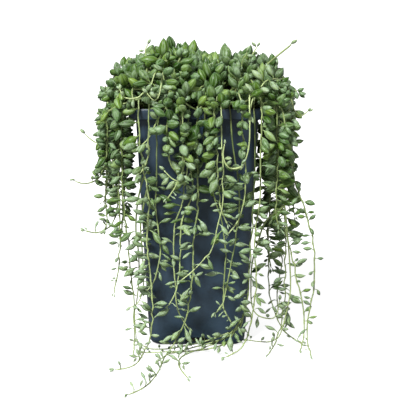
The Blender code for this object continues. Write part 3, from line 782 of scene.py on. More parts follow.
fuller = {
    "length": 0.0161,
    # the length low on the stems of each side
    "lowLength": {"front": 0.0160, "right": 0.0172, "left": 0.0140, "back": 0.0140, "peak": 0.0140},
    "leftSize": 0.88,  # the size of the left curtain's leaves against the others
    "standing": (0.0085, 0.0120),  # the length of leaves that stand up from a level stem
    "girth": 0.226,
    "lowGirth": 0.152,
    "slimBelow": 0.165,  # the height below which leaves get shorter and slimmer
    "hangsBelow": 0.200,
    "levelBelow": 0.175,  # leaves stand up from a level stem only below this
    "thinBelow": 0.055,  # below this the stems off the front have fewer leaves
    "lyingBelow": 0.008,
    "tapers": 0.045,  # how far from a stem's tip its leaves start to get smaller
    "sproutGirth": 0.112,  # for the small long-stalked leaves at the tips and along the surface
    "firstLength": 1.04,  # the first leaves against what they were, and the same for their girth
    "firstGirth": 0.78,
    "ease": 0.80,  # how far leaves may press into each other, 1 for not at all
    "gap": 0.0003,  # from the pot and from the surface, and the next from the soil
    "soilGap": 0.0005,
    "spacingTop": 0.0044,
    "spacingLow": 0.0082,
    "skip": 0.0020,
    # how much leafier the stems off the front are, down to the curtain's foot
    "curtain": {"left": 0.9, "right": 1.5, "back": 1.1, "peak": 0.9},
    "curtainFoot": {"left": 0.092, "right": 0.066, "back": 0.105, "peak": 0.105},
    "turned": 0.24,  # the share of leaves on the side that their stem doesn't favour
    "outward": 0.14,  # the share of low leaves that point straight out
    "hanging": 0.28,  # the share of leaves that hang
    "tries": 12,
    "outer": {"past": 0.077, "below": 0.150},  # where to the right the stems have few and short leaves
    "sparser": 1.4,
    "headSpots": 420,
    "headTries": 10,
    "standOut": 0.0055,  # how far single leaves stand out of the plant's outline
    "cell": 0.008,
    "room": 0.0012,  # kept round a stem
    "bare": ("shoot_right",),  # without leaves but for a bud at the tip
}

# How leafy the front stems are, against the others, from the left: just below the rim, then lower down
leafiness = [(1.3, 1.9), (0.95, 1.4), (0.95, 0.9), (1.2, 1.0), (1.0, 0.9), (1.3, 1.0), (1.1, 1.0), (1.2, 1.5),
             (1.1, 1.3), (1.3, 1.2), (0.8, 0.8), (0.5, 0.9), (0.9, 1.0), (0.2, 0.3), (0.5, 0.9), (0.55, 1.2)]

moundPlan = {
    # the mound's outline from the front: the place across and the height, in millimetres
    "outline": [(-66, 205), (-62, 214), (-54, 223), (-45, 230), (-36, 235), (-26, 238), (-17, 235), (-6, 229),
                (5, 225), (18, 222), (28, 221), (38, 226), (46, 228), (53, 223), (60, 216), (67, 208),
                (71, 205)],
    "middle": (0.003, 0.0, 0.2035),
    "depth": 0.062,
    "spots": 3200,
    "spacing": 0.0122,
    "leafSpacing": 0.0036,
    "leafLength": 0.0172,
    "shootLength": 0.027,
    "step": 0.002,
    "potGap": 0.0016,
    "tries": 8,
    "upright": 0.22,  # the share of shoots that stand up at the top
    "budded": 0.5,  # the share of shoots with a knot of small leaves at the tip
    # the leaf tints on each half: the right half leaves out the palest and brightest, painted shade on the side
    # away from the key light
    "tints": {"left": (0, 1), "right": (0.10, 0.82)},
    "flat": 0.85,  # how far leaves turn to lie along the mound
    "ease": 0.84,
    "backPull": 0.011,
    "reach": 0.18,  # how far some shoots stand out of the mound, against its size
    # where the pot shows at the front, in millimetres: across from and to, up from and to
    "windows": [(-48, -38, 186, 210), (-37, -30, 160, 186), (21, 30, 172, 210), (42, 50, 160, 211)],
    # a gap in the leaves that shows the dark inside, from its mouth to its end
    "hollow": {"mouth": (26, -56, 226), "end": (26, -12, 215.5), "radius": 6.5},
}

# How far leaves reach to the left and right at a height, in millimetres, down to the pot's middle
leafReach = [(60, -90, 97), (128, -88, 97), (138, -87, 80), (147, -86, 80), (157, -82, 81), (188, -83, 82),
             (198, -80, 84), (208, -76, 79), (218, -72, 73), (228, -68, 70), (238, -56, 61), (248, -43, 50),
             (262, -20, 42)]

loosePlan = {
    "step": 0.0015,
    "room": 0.0011,
    "bareFoot": 0.012,
    "ease": 0.8,
    "tries": 12,
    "girth": 0.20,  # this and the next for the shoots that don't give their own
    "age": 0.45,
}

# Pale young shoots, in millimetres: the points they pass, how far apart their leaves stand, how long those
# are and the side they grow on
looseShoots = [
    {"way": [(-36, -48, 208), (-41, -66, 219), (-46, -69, 216), (-52, -69, 215), (-58, -66, 216),
             (-61, -60, 221)],
     "apart": 13, "leaf": 10, "side": (0.1, -0.2, 1)},
    {"way": [(-24, -40, 232), (-27, -57, 233), (-28, -65, 226), (-30, -70, 217), (-34, -71, 214),
             (-39, -69, 219)],
     "apart": 14, "leaf": 12, "side": (-0.7, -0.3, 0.5)},
    {"way": [(-30, -40, 226), (-33, -56, 233), (-36, -65, 225)], "apart": 0, "leaf": 0, "side": (0, 0, 1)},
    {"way": [(-50, -26, 198), (-59, -34, 200), (-66, -36, 202), (-73, -34, 206)],
     "apart": 9, "leaf": 10, "side": (0, -0.3, -1)},
    {"way": [(-66, -20, 188), (-76, -20, 179), (-79, -20, 172), (-83, -20, 170), (-88, -20, 173),
             (-92, -20, 177)],
     "apart": 8, "leaf": 8, "side": (0, 0, 1)},
    {"way": [(-22, -56, 208), (-27, -67, 204), (-31, -67, 198), (-35, -67, 189), (-39, -67, 182),
             (-44, -67, 177)],
     "apart": 9, "leaf": 14, "side": (-0.8, -0.3, 0.1)},
    {"way": [(-7, -70, 176), (-10, -73, 165), (-12, -74, 155), (-15, -74, 150), (-20, -74, 152),
             (-26, -73, 158)],
     "apart": 9, "leaf": 14, "side": (0.5, -0.2, 0.8)},
    {"way": [(74, -4, 216), (69, -16, 222), (63, -40, 226), (55, -56, 227), (50, -64, 223), (45, -69, 218),
             (42, -72, 208), (42, -74, 202)],
     "apart": 11, "leaf": 16, "side": (-1, -0.3, 0.25)},
    {"way": [(66, -26, 216), (74, -31, 214), (77, -31, 206), (79, -31, 199), (84, -31, 194), (90, -31, 198)],
     "apart": 7, "leaf": 12, "side": (1, -0.1, 0.25)},
    {"way": [(57, -42, 208), (63, -46, 202), (66, -47, 195), (69, -47, 191), (75, -46, 190)],
     "apart": 7, "leaf": 9, "side": (0.4, -0.2, 0.8)},
    {"way": [(-38, -18, 226), (-41, -20, 238), (-42, -20, 246), (-40, -20, 251)],
     "apart": 6, "leaf": 7, "side": (0, 0, 1)},
    {"way": [(32, -9, 225), (38, -11, 233), (44, -12, 240), (49, -12, 248)],
     "apart": 10, "leaf": 11, "side": (-0.7, -0.2, 0.6)},
    {"way": [(57, -9, 221), (61, -11, 227), (64, -12, 233)], "apart": 0, "leaf": 0, "side": (0, 0, 1)},
    {"way": [(-69, -24, 172), (-74, -24, 158), (-75, -23, 140), (-76, -22, 122), (-75, -22, 104),
             (-77, -22, 97)],
     "apart": 6, "leaf": 12, "side": (1, -0.2, 0.3), "age": 0.1},
    {"way": [(-42, -62, 152), (-46, -57, 138), (-49, -51, 120), (-50, -45, 100), (-48, -46, 82), (-48, -45, 61),
             (-50, -42, 41), (-52, -42, 30), (-51, -42, 8)],
     "apart": 12, "leaf": 17, "girth": 0.16, "side": (-1, -0.1, 0.5), "age": 0.12, "hangs": True},
    {"way": [(-40, -62, 140), (-43, -57, 126), (-46, -51, 107), (-45, -49, 87), (-44, -47, 62), (-45, -46, 50),
             (-49, -46, 40), (-55, -46, 36)],
     "apart": 14, "leaf": 17, "girth": 0.16, "side": (-1, -0.4, 0.3), "age": 0.35, "hangs": True},
    {"way": [(72, -32, 120), (74, -32, 103), (77, -32, 71), (78, -32, 51), (77, -32, 38), (73, -32, 19),
             (69, -32, 6), (62, -32, 1.5), (55, -32, 1.2), (43, -32, 2.5)],
     "apart": 15, "leaf": 13, "girth": 0.15, "side": (-1, -0.4, 0.6), "age": 0.45, "hangs": True},
    {"way": [(38, -60, 35), (35, -56, 22), (24, -52, 15), (8, -52, 9), (-8, -52, 5), (-24, -52, 2),
             (-38, -51, 1.5), (-45, -50, 4)],
     "apart": 13, "leaf": 10, "girth": 0.16, "side": (-0.5, -0.8, 0.5), "age": 0.3, "hangs": True},
    {"way": [(36, -60, 29), (27, -56, 15), (12, -54, 8), (-4, -55, 4), (-15, -60, 2), (-24, -70, 3.6),
             (-31, -80, 1.6)],
     "apart": 12, "leaf": 11, "girth": 0.18, "side": (0.7, -0.7, 0.3), "age": 0.12, "hangs": True},
    {"way": [(33, -60, 25), (24, -57, 9), (8, -56, 3), (-8, -57, 1.6), (-26, -58, 1.4), (-38, -60, 1.4),
             (-44, -62, 2.5)],
     "apart": 16, "leaf": 10, "girth": 0.15, "side": (-0.6, -0.6, 0.6), "age": 0.45, "hangs": True},
    {"way": [(35.6, -79, 162.8), (31, -78, 160.8), (25.5, -77, 161.2), (22, -77, 165.6), (20.6, -77, 172),
             (21.6, -77, 180)],
     "apart": 10, "leaf": 8, "girth": 0.2, "side": (-0.6, -0.3, 0.4), "age": 0.65, "hangs": True},
    {"way": [(72, -32, 119), (57, -31, 106), (51, -30, 89), (46, -30, 70), (45, -30, 50), (46, -30, 33),
             (51, -30, 24), (62, -30, 21), (67, -30, 25), (69, -30, 37)],
     "apart": 12, "leaf": 15, "girth": 0.15, "side": (1, -0.4, 0.4), "age": 0.35, "hangs": True},
]


# The room that this fuller planting takes up, leaf by leaf
thick = Room(fuller["cell"])


# Whether a leaf has room here: leaves may press on each other, but none cuts the pot, soil or surface
def leafSqueezes(owner, leaf, ease, inHead):
    if hidesRim(leaf):
        return False
    slack = fuller["standOut"] * math.sin(leaf[0].x * 9000 + leaf[0].z * 7000) ** 4
    for point, radius in ballsOf(leaf):
        if point.z - radius < fuller["gap"] or overReaches(point, radius - slack):
            return False
        if potDistance(point) < radius + fuller["gap"] or nearSoil(point, radius, fuller["soilGap"]):
            return False
        if not inHead and headDistance(point) < radius * 0.4 - 0.004:
            return False
        if not thick.free(point, radius * ease, owner, 0):
            return False
    return True


# Whether a leaf would hide the rim at the front where it shows, or the hollow in the mound
def hidesRim(leaf):
    hollow = moundPlan["hollow"]
    mouth, end = Vector(hollow["mouth"]), Vector(hollow["end"])
    for point, radius in ballsOf(leaf):
        share = (point * 1000 - mouth).dot(end - mouth) / (end - mouth).length_squared
        if (point * 1000 - mouth.lerp(end, clamp(share))).length < hollow["radius"]:
            return True
        for left, right, low, high in moundPlan["windows"]:
            inside = left / 1000 - radius < point.x < right / 1000 + radius
            if inside and point.y < -0.050 and low / 1000 - radius < point.z < high / 1000 + radius:
                return True
    return False


# Whether a ball sticks out of the plant's outline at the left or right
def overReaches(point, radius):
    x, z = point.x * 1000, point.z * 1000
    for (low, left, right), (high, nextLeft, nextRight) in zip(leafReach, leafReach[1:]):
        if low <= z < high:
            share = (z - low) / (high - low)
            reach = (left + (nextLeft - left) * share, right + (nextRight - right) * share)
            return x - radius * 1000 < reach[0] or x + radius * 1000 > reach[1]
    return z >= leafReach[-1][0]


# Whether a first leaf stands off the mound's shoulder
def offShoulder(leaf):
    return leaf[0].z > 0.195 and any(overReaches(point, radius - 0.002) for point, radius in ballsOf(leaf))


def keepLeaf(owner, leaf, ease):
    for point, radius in ballsOf(leaf):
        thick.add(point, radius * ease, owner)


# Puts a leaf where it has room, and says whether it had
def plantLeaf(owner, leaf, ease, inHead=False):
    fits = leafSqueezes(owner, leaf, ease, inHead)
    if fits:
        keepLeaf(owner, leaf, ease)
    return fits


# A leaf's base and direction on a hanging stem, turned mostly to the side the stem favours
def leafAside(line, along, step, favoured, spread, rise, rng):
    base, stem = alongLine(line, along, step)
    way = favoured + scatter(rng, spread)
    way = (way - stem * way.dot(stem)).normalized()
    way = way + stem * rng.uniform(-0.3, 0.4) + Vector((0, 0, rise + rng.uniform(-0.35, 0.35)))
    return base, way.normalized()


# How leafy a stem is at a height below the rim, 1 for as its spacing says
def leafyShare(name, height):
    side = name.split("_")[1]
    if side == "front":
        high, low = leafiness[int(name[-2:]) - 1]
        return low + (high - low) * clamp((height - 0.110) / 0.040)
    return 1.0 + fuller["curtain"][side] * clamp((height - fuller["curtainFoot"][side]) / 0.030)


# Whether a place is among the outer stems at the right
def isOuter(here):
    return here.z < fuller["outer"]["below"] and here.x > fuller["outer"]["past"]


# The way that a leaf favours at a place on a stem, and how far its tip rises
def leafFavour(name, here, side, low, slim, rng):
    outward = Vector((here.x, here.y, 0)).normalized()
    favoured = Vector((side, -0.1, 0)) * (0.3 + 0.8 * low) + outward * (0.8 - 0.4 * low)
    favoured.z += 0.7 * (1 - low) + rng.uniform(-0.8, 0.3) * low * (1 - slim)
    if rng.random() < fuller["turned"]:
        favoured.x *= -1
    if slim > 0.5 and rng.random() < fuller["outward"]:
        favoured = outward
    rise = rng.uniform(-1.5, -0.4) if rng.random() < fuller["hanging"] else rng.uniform(0.0, 1.0)
    rise = rise * slim + rng.uniform(-1.1, 0.7) * (1 - slim)
    return favoured, rise * 0.5 if "right" in name else rise


# A leaf's length and girth at a place on a stem, with so much of the stem left
def leafSize(name, here, left, level, slim, rng):
    length = fuller["length"] * (1 - slim) + fuller["lowLength"][name.split("_")[1]] * slim
    short = 0.80 if here.z < fuller["lyingBelow"] else 1
    length *= rng.uniform(0.76, 1.08) * (0.40 + 0.60 * clamp(left / fuller["tapers"])) * short
    girth = (fuller["girth"] * (1 - slim) + fuller["lowGirth"] * slim) * rng.uniform(0.86, 1.12)
    if "left" in name and here.z < fuller["hangsBelow"]:
        length *= fuller["leftSize"]
    if isOuter(here):
        length, girth = length * 0.66, girth * 1.15
    if level:
        length = rng.uniform(*fuller["standing"])
    return length, fuller["sproutGirth"] if level or left < 0.012 else girth


# How far it is to the next leaf from a place on a stem
def leafGap(name, here, low, slim, rng):
    spread = 2.2 if here.z < fuller["lyingBelow"] else 1 + 0.2 * slim
    gap = fuller["spacingTop"] * (1 - low) + fuller["spacingLow"] * low * spread
    if here.z < fuller["hangsBelow"]:
        gap /= leafyShare(name, here.z) / (fuller["leftSize"] if "left" in name else 1)
    if isOuter(here) or here.z < fuller["thinBelow"] and "front" not in name:
        gap *= fuller["sparser"]
    return gap * rng.uniform(0.5, 1.5)


# More leaves along a stem, between its first ones
def fillStem(name, line, rng):
    if name in fuller["bare"]:
        return []
    step = stemPlan["step"]
    total = step * (len(line) - 1)
    taken = [leaf[0] for leaf in leaves[name]]
    side = rng.choice((-1, 1))
    along, added = soilDims["rootDepth"] + 0.008, []
    while along < total - 0.001:
        index = min(len(line) - 1, round(along / step))
        here, left = line[index], total - along
        low = clamp((fuller["hangsBelow"] - here.z) / 0.060)
        slim = clamp((fuller["slimBelow"] - here.z) / 0.055)
        favoured, rise = leafFavour(name, here, side, low, slim, rng)
        ahead = line[min(len(line) - 1, index + 1)] - line[index - 1]
        level = here.z < fuller["levelBelow"] and abs(ahead.normalized().z) < 0.5
        if level:
            favoured, rise = Vector((0.3 * side, -0.1, 1)), 0.5
        if all(abs(along - other) > fuller["skip"] for other in taken):
            length, girth = leafSize(name, here, left, level, slim, rng)
            for attempt in range(fuller["tries"]):
                base, axis = leafAside(line, along, step, favoured, 0.75 - 0.25 * slim, rise, rng)
                leaf = (base, axis, length * (1 - 0.02 * attempt), girth)
                if plantLeaf(name, leaf, fuller["ease"]):
                    added.append((along, *leaf))
                    break
        along += leafGap(name, here, low, slim, rng)
    return added


# Leaves on the core between the first ones
def fillHead(rng):
    added = []
    for i in range(fuller["headSpots"]):
        skin, normal = headSkin(seedWay(i, fuller["headSpots"], 1.45))
        for attempt in range(fuller["headTries"]):
            axis = (normal * 0.45 + scatter(rng, 0.9)).normalized()
            length = moundPlan["leafLength"] * rng.uniform(0.90, 1.05) * (1 - 0.02 * attempt)
            leaf = (skin - normal * rng.uniform(0.0005, 0.004), axis, length, fuller["girth"])
            if plantLeaf("crown", leaf, fuller["ease"], inHead=True):
                added.append((0, *leaf))
                break
    return added


# The mound's height over a place across, from its outline
def moundTop(x):
    outline = moundPlan["outline"]
    for (a, low), (b, high) in zip(outline, outline[1:]):
        if a <= x * 1000 <= b:
            return (low + (high - low) * (x * 1000 - a) / (b - a)) / 1000
    return None


# 1 on the mound's skin, less inside it
def moundShare(point):
    top = moundTop(point.x)
    if top is None:
        return 9.0
    base = moundPlan["middle"][2]
    return (abs(point.y) / moundPlan["depth"]) ** 2.5 + (max(0, point.z - base) / max(0.001, top - base)) ** 2.2


# Spots spread evenly over the mound's skin
def moundSpots():
    middle, spots = Vector(moundPlan["middle"]), []
    for i in range(moundPlan["spots"]):
        way = seedWay(i, moundPlan["spots"])
        near, far = 0.0, 0.12
        for _ in range(18):
            half = (near + far) / 2
            near, far = (half, far) if moundShare(middle + way * half) < 1 else (near, half)
        spot = middle + way * near
        if all((spot - other[0]).length > moundPlan["spacing"] for other in spots):
            spots.append((spot, way))
    return spots


# Draws the mound's back in, the more the further back and the higher a place is
def drawIn(point):
    pull = moundPlan["backPull"] * clamp((point.y - 0.010) / 0.040)
    high = clamp((point.z - 0.210) / 0.015)
    return Vector((point.x, point.y - pull * (0.3 + 0.7 * high), point.z - 0.5 * pull * high))


# The line of a shoot that comes up out of the core and bends over along the mound's skin
def shootLine(spot, way, skinward, rng):
    middle, half = Vector(moundPlan["middle"]), moundPlan["shootLength"] / 2
    reach = 0.97 + moundPlan["reach"] * (rng.random() ** 2.5) + (0.09 if rng.random() < 0.12 else 0)
    spot = middle + (spot - middle) * reach
    downhill = Vector((way.x, way.y, -0.35 * (1 - way.z)))
    downhill += scatter(rng, 0.7)
    along = (downhill - skinward * downhill.dot(skinward)).normalized()
    steep = rng.uniform(0.0, 0.5) + (0.9 if rng.random() < moundPlan["upright"] * way.z else 0)
    along = (along + skinward * steep).normalized()
    inner = middle + (spot - middle) * 0.35 + Vector((0, 0, 0.003))
    bend = middle + (spot - middle) * 0.78 - along * half * 0.9 + Vector((0, 0, 0.002))
    tip = spot + along * half - Vector((0, 0, 0.0015))
    line = smoothLine([inner, bend, spot, tip], moundPlan["step"])
    return [awayFromPot(point, moundPlan["potGap"]) for point in line]


# Short leafy shoots all over the mound
def growShoots(rng):
    step, ease, made = moundPlan["step"], moundPlan["ease"], []
    for number, (spot, way) in enumerate(moundSpots()):
        skinward = Vector((way.x * 0.8, way.y * 0.8, way.z * 1.1)).normalized()
        line = shootLine(spot, way, skinward, rng)
        total, grown = step * (len(line) - 1), []
        place, turn = max(0.2 * total, total - moundPlan["shootLength"] * 1.25), rng.uniform(0, math.tau)
        while place < total:
            turn += goldenAngle
            base, ahead = alongLine(line, place, step)
            size = moundPlan["leafLength"] * rng.uniform(0.66, 1.10)
            size *= 0.60 + 0.40 * clamp((total - place) / 0.008)
            for attempt in range(moundPlan["tries"]):
                aside = squareTo(ahead, turn + attempt * 0.9 * (-1) ** attempt)
                if aside.dot(skinward) < -0.35:
                    continue
                aside -= skinward * max(0, aside.dot(skinward)) * moundPlan["flat"]
                aside = aside + ahead * rng.uniform(0.0, 0.9) + Vector((0, 0, rng.uniform(-0.4, 0.3)))
                leaf = (base, aside.normalized(), size, fuller["girth"])
                if plantLeaf(f"shoot {number}", leaf, ease):
                    grown.append((place, *leaf))
                    break
            place += moundPlan["leafSpacing"] * rng.uniform(0.8, 1.2)
        if grown:
            grown = [(place, drawIn(base), *rest) for place, base, *rest in grown]
            made.append(([drawIn(point) for point in line], grown))
    return made


# A young shoot with its leaves, larger towards its root
def growLoose(number, spec, rng):
    step, owner, grown = loosePlan["step"], f"loose {number}", []
    line = smoothLine([millimetres(*place) for place in spec["way"]], step)
    total = step * (len(line) - 1)
    for point in line:
        thick.add(point, loosePlan["room"], owner)
    side, place, flip = Vector(spec["side"]).normalized(), loosePlan["bareFoot"], 1
    girth, rising = spec.get("girth", loosePlan["girth"]), spec.get("hangs", False)
    while spec["apart"] and place < total - 0.001:
        left = (total - place) / total
        size = spec["leaf"] / 1000 * (0.60 + 0.40 * clamp(left / 0.5)) * rng.uniform(0.88, 1.08)
        for attempt in range(loosePlan["tries"]):
            favoured = Vector((side.x * flip, side.y, side.z * (1 if rising else flip)))
            favoured += scatter(rng, 0.3) * (1 + 0.15 * attempt)
            leaf = (*leafAside(line, place, step, favoured, 0.4, 0.1, rng), size, girth)
            if plantLeaf(owner, leaf, loosePlan["ease"]):
                grown.append((place, *leaf))
                break
        place += spec["apart"] / 1000 * rng.uniform(0.8, 1.2) * (0.6 + 0.4 * left)
        flip = -flip if rng.random() < 0.6 else flip
    return line, grown, spec.get("age", loosePlan["age"])


for name in names:
    leaves[name] = [leaf for leaf in leaves[name] if not hidesRim(leaf[1:]) and not offShoulder(leaf[1:])]
    for point in routes[name]:
        thick.add(point, fuller["room"], name)
    for _, base, axis, length, girth in leaves[name]:
        grownLeaf = (base, axis, length * fuller["firstLength"], girth * fuller["firstGirth"])
        keepLeaf(name, grownLeaf, fuller["ease"])
for _, base, axis, length, girth in leaves["crown"]:
    keepLeaf("crown", (base, axis, length, girth * fuller["firstGirth"]), fuller["ease"])
looseGrown = [growLoose(number, spec, random.Random(number)) for number, spec in enumerate(looseShoots)]
extra = {name: fillStem(name, routes[name], random.Random("more " + name)) for name in names}
moundShoots = growShoots(random.Random(47))
headExtra = fillHead(random.Random(31))
print("stage: fuller planting,", sum(len(found) for found in extra.values()), "on stems,", len(headExtra),
      "on the core,", sum(len(grown) for _, grown in moundShoots), "on", len(moundShoots), "shoots")


# Mesh templates

leafLook = {
    "sides": 8,
    # distance along the leaf, then its radius there: the stalk, the belly, the point
    "plump": [(0.000, 0.165), (0.090, 0.135), (0.160, 0.170), (0.212, 0.360), (0.290, 0.660), (0.390, 0.900),
              (0.500, 1.000), (0.615, 0.980), (0.730, 0.845), (0.830, 0.610), (0.905, 0.350), (0.960, 0.130),
              (1.000, 0.000)],
    "slim": [(0.000, 0.240), (0.130, 0.200), (0.240, 0.220), (0.320, 0.430), (0.410, 0.700), (0.500, 0.910),
             (0.580, 1.000), (0.670, 0.965), (0.755, 0.800), (0.835, 0.560), (0.905, 0.310), (0.960, 0.130),
             (1.000, 0.000)],
    "sprout": [(0.000, 0.560), (0.160, 0.480), (0.320, 0.450), (0.440, 0.480), (0.520, 0.600), (0.600, 0.800),
               (0.680, 0.970), (0.755, 1.000), (0.825, 0.860), (0.890, 0.600), (0.945, 0.320), (0.980, 0.130),
               (1.000, 0.000)],
    "thinner": {"slim": 0.195, "sprout": 0.115},  # the girth below which a leaf has that shape
    "shapes": 12,
    "stalkBend": {"plump": 0.085, "slim": 0.280, "sprout": 0.280},
    "stalkEnd": 0.30,
    "bend": 0.075,
    # how these vary from leaf to leaf: the stalk's bend, the leaf's own and that to the side, and the width
    "stalkVaries": (0.2, 1.0),
    "bendVaries": (-0.4, 1.0),
    "sideVaries": (-1.0, 1.0),
    "widthVaries": (0.97, 1.08),
    "flatten": 0.12,
    "turns": (-0.6, 0.6),  # about its own length
    "clear": 0.0002,  # a leaf on the surface lies this far off it
}

stemLook = {
    "sides": 6,
    "rootRadius": 0.00066,
    "tipRadius": 0.00052,
    "nodeSwell": 1.35,
    "paleness": {"front": (0.25, 0.75), "aside": (0.22, 0.55)},
    "palestTip": {"front": 0.75, "aside": 0.50},
    "paleFrom": {"right": 0.125, "left": 0.160},  # the height from which leaves get paler
    "paleElsewhere": 0.200,  # that height on the other stems
    "paleOver": 0.120,  # over this height they get palest
    "paleStems": {"stem_front_01": 0.75, "stem_front_11": 0.9, "stem_front_14": 1.0, "shoot_right": 0.5},
    "stout": {"shoot_right": 1.45, "stem_front_11": 0.85},  # thicker than the others
    "zigzag": 0.00090,
    "straightBelow": 0.004,
    "rootAge": 0.05,
    "darkRoot": 0.02,  # a stem is dark over this length, and gets paler over the next
    "paling": 0.05,
    "lowGirth": 0.60,  # the first leaves' girth low on a stem, against what it was
    # how young leaves look high on a stem, and what is added low down, on the surface and at the tip
    "topAge": 0.04,
    "lowAge": 0.24,
    "floorAge": 0.30,
    "floorHeight": 0.012,
    "tipAge": 0.40,
    "tipReach": 0.035,
    "ageSway": (-0.10, 0.16),
    "newLeaves": {"spins": (0.4, 3.6), "lean": 0.30, "back": 0.0006, "length": (0.0040, 0.0070),
                  "girth": 0.15, "age": 0.85},
    "bareBud": {"back": 0.002, "length": 0.0090, "girth": 0.19, "age": 0.55},
}

headLook = {
    "core": 0.80,  # against the head's skin
    "lump": 0.04,
    "soilGap": 0.0005,
    "ages": (-0.20, 0.15),
}

shootLook = {
    "sides": 5,
    "radius": 0.0007,
    "stemAge": (0.10, 0.5),  # at the foot, and how much more at the tip
    "leafAge": (-0.17, 0.14),
    "ageSway": (-0.06, 0.10),
    "buds": 5,
    "budLean": (0.25, 0.20),  # of the first bud, and how much more the next ones lean and are longer
    "budLength": (0.0060, 0.0080),
    "budLonger": 0.0006,
    "budPast": 0.0030,  # how far past the tip the first bud stands, and how much less the next ones
    "budBack": 0.0012,
    "budGirth": 0.25,
    "budAge": 0.12,
    "budTints": (0, 0.12),
}

looseLook = {
    "sides": 6,
    "radius": 0.00085,
    "taper": 0.00040,
    "stemAge": (0.17, 0.4),  # more than the leaves' age at the foot, and how much more at the tip
    "leafAge": 0.5,  # how much more at the tip
    "darkBelow": 0.3,  # a shoot whose age is less than this gets pale more slowly
    "darkShare": 0.6,
    "ageSway": (-0.1, 0.1),
    "newLeaves": {"spins": (0.9, 4.0), "lean": 0.3, "back": 0.0005, "length": (0.0045, 0.0070),
                  "girth": 0.20, "age": 1},
}


# A plump pointed leaf on its curved stalk, along +Z, one unit long, with the belly's radius as the unit across
def leafTemplate(kind, rng):
    profile = leafLook[kind]
    rings = len(profile) - 1
    bm = bmesh.new()
    bmesh.ops.create_uvsphere(bm, u_segments=leafLook["sides"], v_segments=rings, radius=1)
    stalk = rng.uniform(*leafLook["stalkVaries"]) * leafLook["stalkBend"][kind]
    bend = rng.uniform(*leafLook["bendVaries"]) * leafLook["bend"]
    side = rng.uniform(*leafLook["sideVaries"]) * leafLook["bend"]
    wide = rng.uniform(*leafLook["widthVaries"])
    end, shift = leafLook["stalkEnd"], []
    for vert in bm.verts:
        ring = round((1 - math.acos(max(-1, min(1, vert.co.z))) / math.pi) * rings)
        along, radius = profile[ring]
        angle = math.atan2(vert.co.y, vert.co.x)
        x, y = radius * math.cos(angle) * wide, radius * math.sin(angle) / wide
        if y > 0:
            y *= 1 - leafLook["flatten"]
        lift = stalk * (1 - (1 - min(1, along / end)) ** 2) - stalk * max(0, along - end) * 1.3
        lift += bend * (along - 0.45) ** 2 * 3 - bend * 0.6
        shift.append((side * math.sin(math.pi * along), lift))
        vert.co = Vector((x, y, along))
    points, faces = unpack(bm)
    return points, faces, np.arctan2(points[:, 1], points[:, 0]), np.array(shift)


templateRng = random.Random(12)
leafTemplates = {kind: [leafTemplate(kind, templateRng) for _ in range(leafLook["shapes"])]
                 for kind in ("plump", "slim", "sprout")}


# Vertices, faces and per-vertex values gathered into one mesh
class Gather:
    def __init__(self):
        self.points, self.faces, self.slots = [], [], []
        self.shade, self.skin = [], []
        self.count = 0

    def add(self, points, faces, slot, shade, skin):
        self.points.append(points)
        self.faces += [[index + self.count for index in face] for face in faces]
        self.slots += [slot] * len(faces)
        self.shade.append(shade)
        self.skin.append(skin)
        self.count += len(points)

    def build(self, name, materials):
        mesh = bpy.data.meshes.new(name)
        mesh.from_pydata(np.concatenate(self.points).tolist(), [], self.faces)
        for material in materials:
            mesh.materials.append(material)
        mesh.polygons.foreach_set("material_index", self.slots)
        for label, values in (("shade", self.shade), ("skin", self.skin)):
            layer = mesh.attributes.new(label, "FLOAT_VECTOR", "POINT")
            layer.data.foreach_set("vector", np.concatenate(values).astype(np.float32).ravel())
        mesh.shade_smooth()
        mesh.validate()
        return newObject(name, mesh)


# One leaf: its tint and age colour it, and its skin coordinates run round and along it
def addLeaf(gather, leaf, age, rng, tints=(0, 1)):
    base, axis, length, girth = leaf
    kind = "plump"
    for shape, most in leafLook["thinner"].items():
        kind = shape if girth < most else kind
    points, faces, angles, shift = rng.choice(leafTemplates[kind])
    turn = axis.to_track_quat("Z", "Y").to_matrix()
    turn = turn @ Matrix.Rotation(rng.uniform(*leafLook["turns"]), 3, "Z")
    scaled = points * np.array([length * girth, length * girth, length])
    scaled[:, :2] += (shift - shift[points[:, 2].argmin()]) * length
    placed = scaled @ np.array(turn).T + np.array(base)
    placed[:, 2] += max(0, leafLook["clear"] - placed[:, 2].min())
    tint, offset = rng.uniform(*tints), rng.uniform(0, 50)
    shade = np.column_stack([np.full(len(points), tint), np.full(len(points), age), points[:, 2]])
    skin = np.column_stack([np.cos(angles) + offset, np.sin(angles), points[:, 2]])
    gather.add(placed, faces, 0, shade, skin)


# A round tube along a line, closed at both ends
def addTube(gather, line, radii, sides, ages):
    up = Vector((0.3, 0.2, 1)).normalized()
    rows, faces, shade, skin = [], [], [], []
    for i, point in enumerate(line):
        ahead = (line[min(i + 1, len(line) - 1)] - line[max(i - 1, 0)]).normalized()
        side = (up - ahead * up.dot(ahead)).normalized()
        other = ahead.cross(side)
        up = side
        for k in range(sides):
            angle = math.tau * k / sides
            rows.append(point + (side * math.cos(angle) + other * math.sin(angle)) * radii[i])
            shade.append((0.5, ages[i], i / (len(line) - 1)))
            skin.append((math.cos(angle), math.sin(angle), i * 0.15))
    for i in range(len(line) - 1):
        for k in range(sides):
            a, b = i * sides + k, i * sides + (k + 1) % sides
            faces.append([a, b, b + sides, a + sides])
    last = (len(line) - 1) * sides
    faces.append(list(reversed(range(sides))))
    faces.append([last + k for k in range(sides)])
    gather.add(np.array(rows), faces, 1, np.array(shade), np.array(skin))


# Materials of the plant

